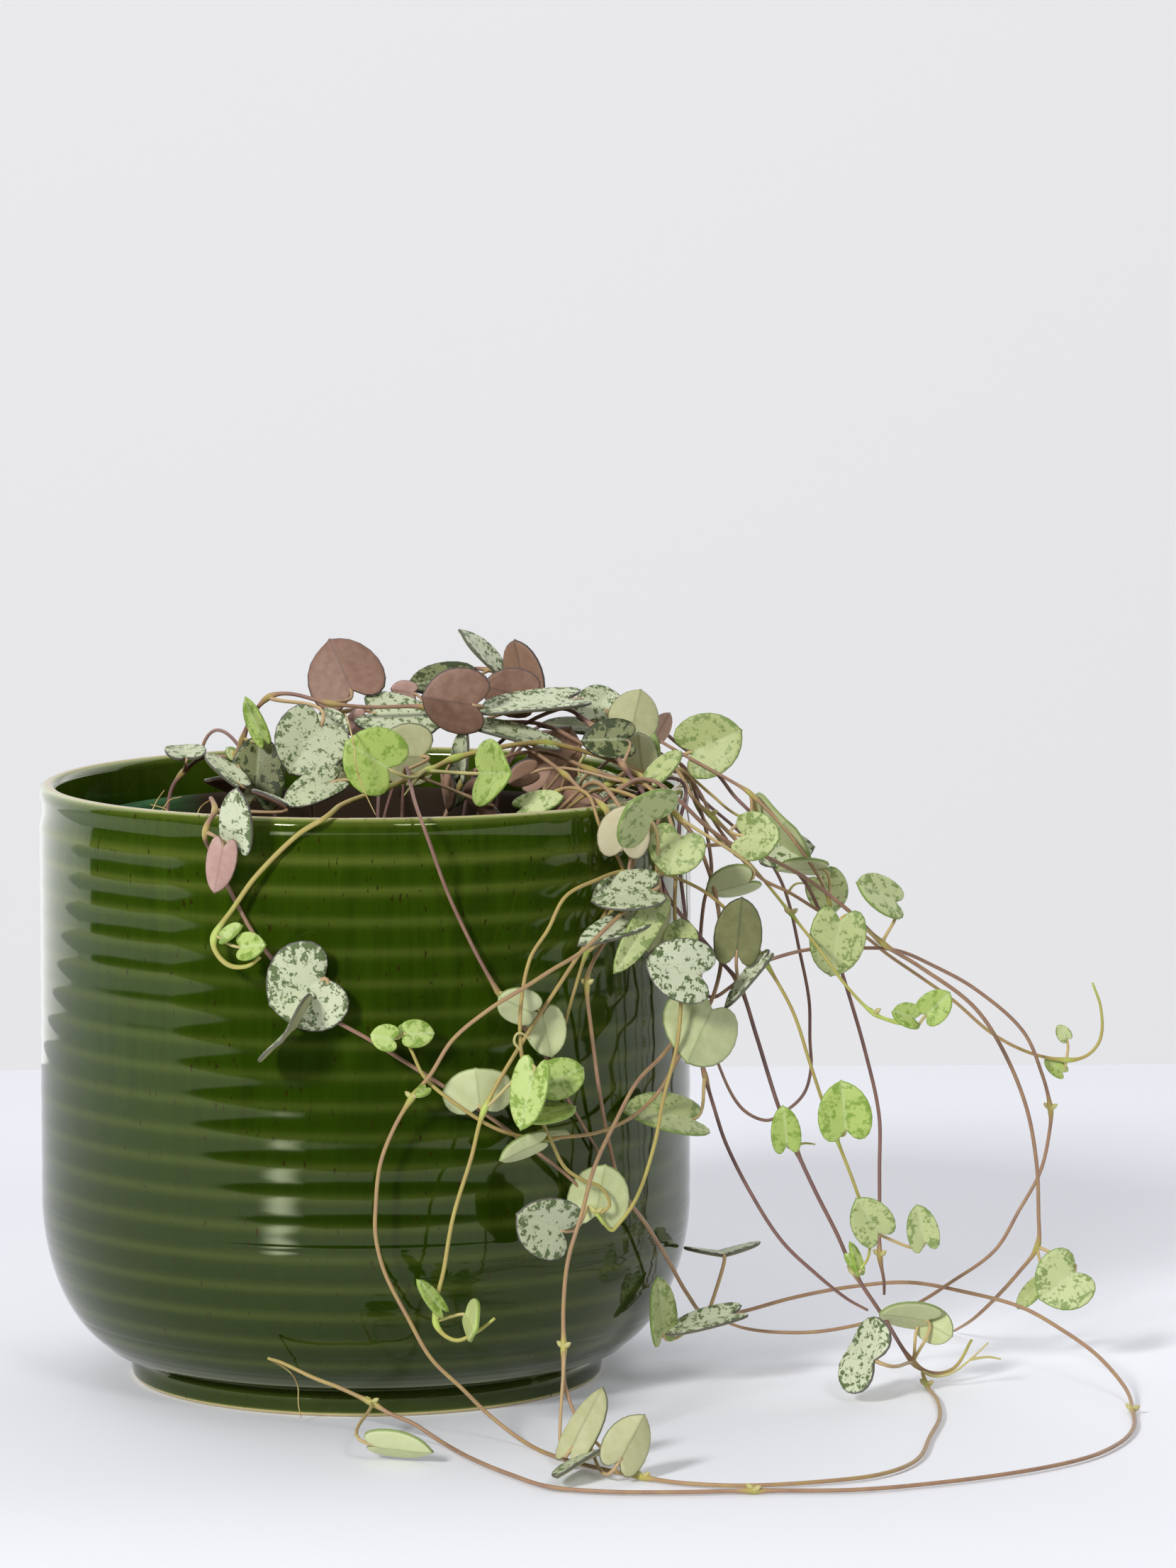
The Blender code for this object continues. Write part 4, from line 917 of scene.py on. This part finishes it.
# The olive stem on the right, with a side shoot that hangs clear of the pot
grow("vine_05", 0.6, (38, -32), [
    (50, -39, 139), (60, -45, 139), (63, -52, 134), (65, -54, 123), (57, -60, 124), (51, -67, 123),
    (44, -72, 120), (40, -75, 113), (36, -78, 107), (34, -79, 97), (34, -79, 87), (36, -77, 77),
    (38, -75, 72), (41, -72, 65), (44, -69, 59), (48, -68, 56), (52, -66, 54), (54, -65, 50),
    (52, -65, 48),
], [
    (3, (63, -65, 136), (58, -73, 141), 17, (-1, -3, 1), "green"),
    (3, (70, -55, 131), (67, -58, 123), 13, (0, -3, 1), "green"),
    (3, (63, -64, 120), (50, -66, 118), 13, (0, -3, 4), "silver"),
    (12, (40, -76, 79), (48, -72, 82), 9.5, (0, -5, 2), "lime"),
    (12, (37, -79, 72), (46, -73, 73), 7.5, (0, -2, 4), "lime"),
    (26, (108, -44, 63), (107, -44, 74), 12.4, (0, -6, 1), "lime"),
    (28, (116, -36, 38), (111, -38, 46), 10, (0, -4, 1), "green"),
    (28, (127, -32, 35), (125, -34, 44), 7.5, (0, -4, 1), "green"),
    (22, (89, -48, 102), (80, -49, 92), 6, (-1, -0.5, 1), "silver"),
], shoot=(3, [
    (70, -50, 121), (77, -48, 117), (85, -46, 109), (90, -46, 101), (96, -44, 90), (100, -42, 78),
    (103, -40, 69), (106, -38, 61), (111, -36, 48), (114, -34, 38), (114, -34, 32), (111, -34, 28),
]), tones=(0.6, 0.7), bare=(30,))

# The inner of the two long loops on the right
grow("vine_06", 0.65, (-12, 12), [
    (-12, 6, 142), (-6, 0, 153), (4, -3, 154), (14, -6, 154), (27, -6, 152), (40, -13, 152),
    (49, -26, 149), (55, -30, 146), (62, -31, 142), (66, -37, 141), (70, -40, 138), (77, -37, 131),
    (84, -33, 126), (91, -28, 123), (101, -23, 117), (111, -21, 109), (118, -19, 102),
    (127, -16, 96), (139, -14, 87), (146, -12, 77), (152, -10, 63), (155, -6, 49), (156, -2, 36),
    (156, 0, 28), (152, 4, 21), (147, 12, 13), (143, 20, 7), (140, 36, 1),
], [
    (1, (-7, -18, 150), (-9, -16, 156), 8, (0, -3, 1), "silver"),
    (2, (2, -7, 154), (17, -11, 151), 15, (0, -3, 4), "silver"),
    (4, (37, -12, 158), (27, -12, 161), 12, (0, 6, 1), "purple"),
    (8, (65, -35, 142), (71, -33, 148), 6, (-1, -1, 0), "green"),
    (16, (121, -16, 111), (112, -20, 116), 11, (0, -3, 3), "green"),
    (16, (108, -24, 108), (106, -23, 95), 13, (0, -6, 1), "green"),
    (23, (164, -6, 23), (156, -8, 17), 15, (0, -5, 1), "green"),
    (23, (156, -1, 19), (151, -4, 14), 4.5, (-1, -3, 0), "green"),
    (1, (-5, -4, 140), (-10, -5, 138), 6, (0, -3, 1), "deep"),
    (2, (0, -6, 153), (-4, -5, 149), 6, (0, 6, 1), "pink"),
    (3, (11, 0, 158), (6, 0, 159), 5, (0, 6, 1), "pink"),
], tones=(0.3, 0.45))

# The top stem, with the upright leaves
grow("vine_07", 0.55, (4, 24), [
    (10, 20, 142), (21, 14, 161), (29, 12, 162), (38, 8, 160), (47, 2, 155), (55, -2, 154),
    (63, -6, 150), (72, -10, 145), (85, -14, 138), (88, -15, 136), (95, -17, 129), (101, -18, 121),
    (104, -19, 116), (106, -20, 111),
], [
    (2, (30, 6, 163), (22, 4, 172), 9, (4, -2, 4), "silver"),
    (2, (37, 4, 158), (35, 2, 170), 11, (2, 3, 0), "purple"),
    (4, (46, -19, 158), (26, -25, 156), 15, (0, -1, 4), "silver"),
    (4, (53, -4, 152), (56, 2, 159), 12, (0, -6, 1), "silver"),
    (5, (61, -12, 151), (63, -8, 159), 12, (0, 6, 1), "silver"),
    (6, (67, -2, 148), (70, 0, 153), 5, (0, 6, 1), "pink"),
    (9, (93, -9, 125), (96, -19, 130), 20, (7, 4, 5), "green"),
    (9, (92, -11, 122), (103, -9, 123), 9, (0, -3, 2), "silver"),
    (13, (104, -16, 119), (94, -14, 119), 8, (0, 2, 3), "green"),
    (13, (105, -5, 115), (109, -1, 107), 10, (0, -5, 1), "green"),
    (2, (23, 8, 160), (10, 7, 159), 12, (0, -2, 3), "deep"),
    (5, (54, 0, 149), (40, 4, 150), 8, (0, -1, 3), "deep"),
], tones=(0.2, 0.5))

# The dark stem that falls to the surface on the right
grow("vine_08", 0.65, (22, 2), [
    (27, -8, 143), (44, -19, 156), (52, -21, 152), (58, -35, 145), (60, -36, 142), (63, -42, 138),
    (63, -43, 132), (65, -44, 124), (68, -45, 116), (75, -42, 107), (80, -41, 101), (84, -41, 96),
    (88, -40, 84), (93, -38, 68), (97, -36, 58), (102, -34, 47), (107, -32, 37), (111, -30, 28),
    (118, -28, 17), (125, -26, 6), (130, -24, 3), (135, -22, 4), (139, -20, 10),
], [
    (3, (59, -30, 150), (49, -30, 150), 10, (0, -4, 2), "deep"),
    (2, (41, -15, 138), (47, -11, 151), 13, (0, 6, 0), "purple"),
    (11, (83, -49, 104), (84, -51, 117), 11, (0, 6, 0), "deep"),
    (19, (115, -44, 10), (109, -36, 12), 18.5, (-7, -6, 4), "silver"),
    (19, (128, -26, 16), (117, -30, 19), 11, (0, 3, 3), "green"),
    (19, (128, -24, 15), (134, -26, 12), 9, (0, 5, 1), "green"),
    (14, (95, -40, 59), (94, -42, 68), 7, (0, -3, 1), "lime"),
], tones=(0.1, 0.25, 0.85), bare=(17,))

# The short pale stem over the right of the lip
grow("vine_09", 0.5, (40, 16), [
    (46, 13, 140), (61, 2, 145), (68, 0, 142), (73, -2, 140), (79, -3, 135), (85, -14, 131),
    (88, -15, 131),
], [
    (2, (75, -8, 145), (86, -10, 150), 15, (0, -6, 1), "green"),
    (6, (85, -37, 129), (93, -43, 129), 11.4, (0, -4, 1), "green"),
], tones=(0.5, 0.7))

# The long pink stem that comes down in front to the surface
grow("vine_10", 0.65, (16, -22), [
    (22, -24, 140), (30, -24, 145), (40, -18, 146), (51, -26, 143), (59, -34, 141), (66, -35, 139),
    (70, -39, 134), (74, -38, 129), (77, -39, 122), (79, -38, 115), (80, -37, 108), (80, -39, 100),
    (78, -42, 93), (75, -47, 89), (72, -50, 88), (66, -56, 82), (60, -63, 77), (55, -69, 69),
    (50, -81, 61), (47, -88, 52), (44, -89, 42), (43, -89, 32), (43, -91, 23), (43, -95, 16),
    (45, -98, 10), (47, -99, 6),
], [
    (6, (86, -40, 119), (77, -37, 116), 11, (0, 3, 3), "green"),
    (4, (38, -30, 143), (32, -32, 141), 7, (0, 4, 2), "purple"),
    (14, (77, -54, 92), (71, -60, 81), 19, (0, 5, 2), "green"),
    (22, (44, -109, 4), (51, -106, 17), 8, (2, 3, 0), "silver"),
    (25, (50, -112, 4), (40, -132, 4), 10, (0, 3, 3), "silver"),
    (25, (54, -125, 5), (59, -121, 14), 10.5, (0, 6, 1), "silver"),
    (0, (22, -23, 142), (23, -24, 152), 8, (-2, -1, 0), "silver"),
    (0, (23, -22, 140), (19, -18, 134), 6, (-1, -1, 0), "deep"),
    (3, (50, -19, 138), (59, -18, 139), 8, (0, -3, 2), "silver"),
], tones=(0.4, 0.5), bare=(14, 22))

# The stem that hooks back, hangs down the front and runs along the surface
grow("vine_11", 0.65, (48, -16), [
    (58, 0, 138), (70, -12, 142), (75, -17, 135), (79, -14, 131), (83, -13, 127), (85, -18, 125),
    (81, -28, 126), (74, -35, 126), (67, -49, 123), (60, -62, 118), (53, -72, 113), (47, -76, 108),
    (41, -80, 105), (34, -83, 101), (27, -85, 97), (19, -83, 90), (14, -82, 82), (10, -82, 77),
    (6, -81, 70), (3, -81, 62), (2, -82, 53), (2, -82, 46), (4, -82, 38), (9, -82, 28),
    (14, -82, 19), (21, -82, 12), (27, -82, 6), (35, -88, 1), (43, -105, 1), (51, -115, 1),
    (59, -123, 1), (67, -129, 1), (80, -132, 1), (96, -129, 1), (110, -122, 1), (119, -108, 1),
    (124, -84, 1), (128, -63, 1), (129, -44, 1), (128, -28, 1), (127, -27, 4),
], [
    (17, (13, -83, 79), (11, -86, 78), 3, (0, -1, 1), "lime"),
], tones=(0.5, 0.5), bare=(3, 17, 30, 39))

# The outer of the two long loops on the right
grow("vine_12", 0.6, (50, 7), [
    (60, 6, 138), (72, 7, 141), (77, 8, 132), (80, 2, 117), (78, -2, 109), (77, -6, 100),
    (77, -10, 92), (79, -14, 89), (83, -20, 92), (88, -24, 97), (92, -24, 99), (101, -22, 101),
    (111, -20, 101), (121, -16, 100), (131, -8, 95), (141, -5, 89), (152, -2, 79), (157, 1, 68),
    (159, 2, 60), (159, 3, 55), (157, 4, 45), (152, 3, 36), (146, 0, 27), (135, -4, 20),
    (127, -8, 16), (117, -12, 13), (105, -14, 11), (95, -15, 11), (87, -15, 12), (81, -14, 14),
], [], tones=(0.3, 0.45), bare=(18,))

# The stem that reaches furthest right, with a curled tip
grow("vine_13", 0.55, (52, -3), [
    (63, 5, 138), (71, -4, 140), (74, -5, 139), (77, -7, 135), (80, -10, 129), (86, -14, 121),
    (91, -13, 116), (97, -13, 113), (105, -13, 108), (114, -12, 103), (120, -9, 98), (128, -4, 92),
    (136, -1, 86), (145, 2, 78), (154, 4, 73), (163, 5, 71), (168, 6, 72), (171, 6, 76),
    (171, 6, 83), (169, 6, 89),
], [
    (15, (163, 6, 76), (161, 6, 79), 3.5, (0, -3, 1), "green"),
    (15, (162, 6, 68), (158, 6, 71), 4, (0, -3, 1), "lime"),
], tones=(0.3, 0.75, 0.95))

# The yellow stem that ends in young leaves
grow("vine_14", 0.5, (51, 13), [
    (63, 9, 140), (72, 11, 141), (77, 10, 130), (82, 4, 123), (86, -2, 121), (90, -8, 117),
    (97, -20, 109), (103, -32, 102), (109, -34, 94), (115, -34, 88), (120, -34, 86), (125, -34, 85),
], [
    (10, (124, -36, 87), (119, -38, 89), 6.5, (0, -3, 2), "lime"),
    (11, (127, -35, 88), (132, -36, 93), 7.5, (0, -5, 1), "lime"),
], tones=(0.6, 0.9), bare=(6, 9))

# The stem that drops straight down on the right
grow("vine_15", 0.6, (30, 28), [
    (38, 24, 146), (65, 7, 150), (73, 3, 145), (81, 0, 139), (85, -2, 134), (89, -4, 130),
    (95, -9, 122), (102, -9, 113), (108, -10, 98), (111, -10, 89), (115, -11, 75), (118, -12, 61),
    (118, -14, 49), (118, -15, 37), (118, -16, 29), (119, -16, 23), (119, -17, 20),
], [], tones=(0.15, 0.3), bare=(14,))

# The thin stem that hooks back on the right
grow("vine_16", 0.55, (46, 28), [
    (58, 26, 140), (69, 26, 141), (79, 26, 130), (87, 26, 123), (95, 28, 115), (99, 28, 107),
    (102, 26, 94), (104, 22, 83), (104, 18, 74), (104, 14, 68), (102, 8, 63), (97, 0, 60),
    (92, -6, 59), (86, -10, 63), (81, -14, 73), (79, -16, 81),
], [], tones=(0.2, 0.35))

# The dark stem that slants down to the right
grow("vine_17", 0.6, (50, -21), [
    (65, -28, 140), (72, -29, 140), (71, -31, 131), (71, -34, 121), (72, -35, 112), (73, -34, 101),
    (73, -33, 90), (75, -31, 81), (77, -30, 73), (79, -29, 66), (82, -28, 57), (88, -27, 45),
    (95, -25, 34), (103, -23, 26), (110, -21, 20), (115, -20, 17),
], [
    (8, (73, -41, 65), (58, -51, 69), 12, (0, -3, 3), "green"),
], tones=(0.1, 0.25))

# The yellow-green stem with the sharp turn at its foot
grow("vine_18", 0.6, (44, -28), [
    (57, -38, 140), (63, -40, 141), (69, -46, 131), (69, -52, 113), (70, -56, 104), (70, -60, 94),
    (69, -62, 85), (66, -62, 73), (64, -63, 63), (60, -63, 51), (55, -63, 44), (54, -63, 44),
    (51, -64, 48),
], [
    (4, (74, -62, 101), (62, -66, 105), 14.5, (0, -4, 1), "silver"),
    (4, (70, -58, 107), (70, -58, 113), 8, (0, -4, 1), "green"),
], tones=(0.5, 0.85), bare=(12,))

# The short olive stem under the silver leaves
grow("vine_19", 0.55, (30, -40), [
    (42, -48, 140), (49, -55, 141), (52, -58, 134), (58, -51, 120), (53, -55, 112), (49, -61, 106),
    (46, -63, 97), (43, -65, 87), (41, -67, 83),
], [
    (4, (62, -61, 114), (47, -71, 110), 9, (0, -2, 4), "silver"),
    (5, (64, -63, 116), (55, -71, 103), 7, (2, -2, 2), "green"),
    (0, (35, -51, 137), (44, -52, 140), 7, (-1, -2, 2), "green"),
], tones=(0.5, 0.7))

# The longest stem: down the front, round on the right and back along the surface
grow("vine_20", 0.65, (36, -39), [
    (49, -43, 141), (54, -50, 141), (59, -55, 131), (57, -57, 117), (54, -60, 110), (50, -61, 103),
    (49, -62, 99), (50, -60, 89), (52, -58, 74), (54, -56, 63), (57, -56, 52), (63, -47, 42),
    (68, -40, 33), (73, -30, 23), (78, -22, 16), (87, -10, 15), (99, -4, 17), (112, -2, 19),
    (126, -2, 20), (139, -4, 18), (151, -12, 16), (160, -20, 12), (167, -30, 8), (172, -42, 3),
    (172, -57, 1), (170, -76, 1), (165, -92, 1), (156, -107, 1), (141, -120, 1), (121, -131, 1),
    (103, -137, 1), (82, -137, 1), (65, -138, 1), (51, -137, 1), (39, -132, 1), (31, -120, 1),
    (23, -104, 1), (16, -85, 1), (10, -80, 4), (5, -79, 6), (1, -77, 8), (-6, -75, 11),
    (-12, -73, 13), (-19, -71, 16), (-22, -71, 17),
], [
    (3, (65, -54, 116), (63, -56, 105), 7, (0, 5, 0), "silver"),
    (14, (67, -34, 15), (66, -36, 28), 9, (2, -2, 0), "green"),
    (14, (82, -20, 30), (81, -10, 29), 18, (0, -2, 4), "silver"),
    (14, (83, -30, 18), (68, -34, 15), 9, (0, -1, 3), "silver"),
    (40, (2, -103, 4), (14, -106, 3), 10, (0, 3, 3), "green"),
], tones=(0.45, 0.38, 0.7), bare=(6, 14, 24, 31, 40))

# The brown stem that sweeps left and ends in a pair of small leaves
grow("vine_21", 0.6, (43, -33), [
    (60, -41, 142), (67, -42, 140), (64, -50, 129), (66, -46, 119), (68, -45, 108), (70, -41, 97),
    (73, -39, 89), (72, -45, 84), (68, -50, 77), (65, -49, 72), (59, -56, 68), (51, -64, 66),
    (43, -70, 66), (38, -72, 66), (29, -77, 69), (20, -80, 75), (13, -80, 81), (10, -80, 87),
    (8, -80, 91),
], [
    (13, (38, -76, 66), (29, -80, 63), 6, (0, 4, 2), "green"),
    (13, (38, -70, 66), (45, -66, 66), 5, (0, 2, 2), "green"),
    (18, (6, -82, 90), (1, -82, 91), 6.2, (0, -5, 1), "lime"),
    (18, (9, -81, 91), (15, -80, 91), 6.4, (0, -5, 1), "lime"),
], tones=(0.3, 0.75), bare=(13,))

# The three stems behind the pot hang straight down its far side, with a pair of leaves at each
# node. They follow a rule with seeded draws.
BACK_STEMS = [(52, 72), (86, 96), (120, 58)]  # heading in degrees, and how far each hangs down
BACK_STEM_RADIUS = 0.6
BACK_ROOT = 43  # from the middle of the pot
BACK_CREST = [(58, 139), (70, 143), (79, 138)]  # (radius, height), over the lip
BACK_HANG = 80  # from the middle of the pot
BACK_FIRST_NODE = 118  # its height
NODE_SPACING = 24
NODE_SWING = 0.06  # radians to either side of the heading
LEAF_WIDTHS = (13, 18)
LEAF_ASPECT = 0.62  # how far a leaf hangs down, as a share of its width
LEAF_SPREAD = 0.4  # and how far it reaches sideways
STALK_ACROSS = 5  # from the node to the blade, along the wall
STALK_OUT = 3  # and away from it


def back_stem(number, angle, drop):
    """Grows one of them, with its places rounded to whole millimetres as in the CAD."""
    draw = random.Random(number)
    heading = math.radians(angle)
    out = Vector((math.cos(heading), math.sin(heading), 0))
    along_wall = Vector((-math.sin(heading), math.cos(heading), 0))

    def place(radius, height, swing=0.0):
        turn = heading + swing
        return round(radius * math.cos(turn)), round(radius * math.sin(turn)), round(height)

    route = [place(*point) for point in BACK_CREST]
    height = BACK_FIRST_NODE
    while height > BACK_CREST[-1][1] - 1 - drop:
        route.append(place(BACK_HANG, height, draw.uniform(-NODE_SWING, NODE_SWING)))
        height -= NODE_SPACING
    leaves = []
    for point in range(len(BACK_CREST), len(route)):
        for side in (-1, 1):
            width = draw.uniform(*LEAF_WIDTHS)
            across = along_wall * side
            lift = Vector((0, 0, draw.uniform(0, 3)))
            base = Vector(route[point]) + across * STALK_ACROSS + out * STALK_OUT + lift
            lean = out * draw.uniform(0, 4) - Vector((0, 0, width * LEAF_ASPECT))
            tip = base + across * width * LEAF_SPREAD + lean
            leaves.append((point, base, tip, width, out + Vector((0, 0, 0.4)), "silver"))
    root = place(BACK_ROOT, 0)[:2]
    grow(f"vine_{number}", BACK_STEM_RADIUS, root, route, leaves, tones=(0.15, 0.5))


for number, (angle, drop) in enumerate(BACK_STEMS, start=22):
    back_stem(number, angle, drop)

# ------------------------------------------------------------------ buds, growing tips and dry threads
# New growth at the nodes is a few millimetres long: folded leaves that haven't opened, and lime
# tips. Old flower stalks and surface roots have dried to straw-coloured threads.
# (notch, tip, width, facing, kind)
BUDS = [
    ((111.9, -34, 29), (108.7, -34, 32.9), 3, (0, -1, 1), "lime"),
    ((111.9, -34, 29), (110.3, -34, 35.5), 3, (1, -1, 0), "lime"),
    ((7.7, -80, 90.2), (7.7, -80, 93), 2, (0, -1, 0), "lime"),
    ((-30, -3, 143.5), (-31.7, -3, 145.8), 3, (0, -1, 1), "green"),
]
TIPS = [
    [(96, -36, 57.5), (99, -36, 58.6), (101.7, -36, 58.4)],
    [(127, -27, 4), (130, -27.5, 3), (134, -28, 4), (138, -28, 7), (142, -28, 10.8)],
    [(138, -28, 7), (142, -28, 7.5), (145, -28, 7)],
    [(99, 28, 107), (101, 28, 109.5), (103.8, 28, 109.8)],
    [(34, -79, 87), (32.5, -80, 89), (33.5, -80.5, 91), (36, -80, 89.5)],
    [(14.3, -46, 144.6), (11.5, -46.5, 143), (8.7, -46.5, 139.5)],
    [(50, -22, 146), (48.6, -22, 143.6), (48.8, -22, 141), (50.4, -22, 140.2)],
]
THREADS = [
    [(-4.5, -8, 153.5), (-4.2, -40, 157), (-3.2, -70, 157), (-2.3, -75, 153.4), (-2, -76, 149.6),
     (0, -77, 143.8), (2.3, -77.5, 138.9)],
    [(-22, -71, 17), (-17.3, -66.8, 13.1), (-15.5, -63, 9), (-15.4, -60, 4.2), (-14.8, -60, 1.2)],
    [(-45, -43, 120.5), (-46.5, -43, 132), (-44, -43, 138), (-41, -42.5, 139)],
    [(-40, -46, 120.5), (-41, -45, 130), (-44, -44.5, 136), (-48, -44, 137.5)],
    [(-36, -47, 120.5), (-38, -46, 131), (-37, -45.5, 136.5), (-34, -45, 139)],
    [(-47, -38, 120.5), (-49, -38, 131), (-47, -38, 137), (-45, -38, 140)],
]
THREAD_RADIUS = 0.22
TIP_RADIUS = 0.4
TAPER = 0.55  # of its radius that a thread loses by its end

# Dried stalks and roots: dull, and faded by the light to straw
dry, tree, shader = new_material("dried_straw", Roughness=0.7)
coords = add_node(tree, "TexCoord").outputs["Object"]
faded = add_node(tree, "TexNoise", {"Vector": coords, "Scale": 240, "Detail": 2})
straws = add_node(
    tree, "ValToRGB", {"Fac": faded.outputs["Fac"]}, stops=[(0.35, "#a5824a"), (0.65, "#c9b878")]
)
paint(tree, shader, straws.outputs["Color"])


def tapered(shape, route, radius, tone, slot):
    """Adds a thread along a route, thinner towards its end."""
    line = smooth_line(route)
    radii = [radius * (1 - TAPER * n / len(line)) for n in range(len(line))]
    add_bar(shape, line, radii, [tone] * len(line), STALK_SIDES, slot)


shape = plant_shape()
for number, (base, tip, width, facing, kind) in enumerate(BUDS):
    add_leaf(shape, Vector(base) * MM, Vector(tip) * MM, width, facing, kind, f"bud {number}")
for route in TIPS:
    tapered(shape, route, TIP_RADIUS, 0.9, STALK_SLOT)
growth = finished("growing_tips", shape, PLANT_MATERIALS)
shape = bmesh.new()
shape.verts.layers.float.new("tone")
for route in THREADS:
    tapered(shape, route, THREAD_RADIUS, 0.5, 0)
threads = finished("dry_threads", shape, [dry])
for piece in (growth, threads):
    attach(piece, "root")
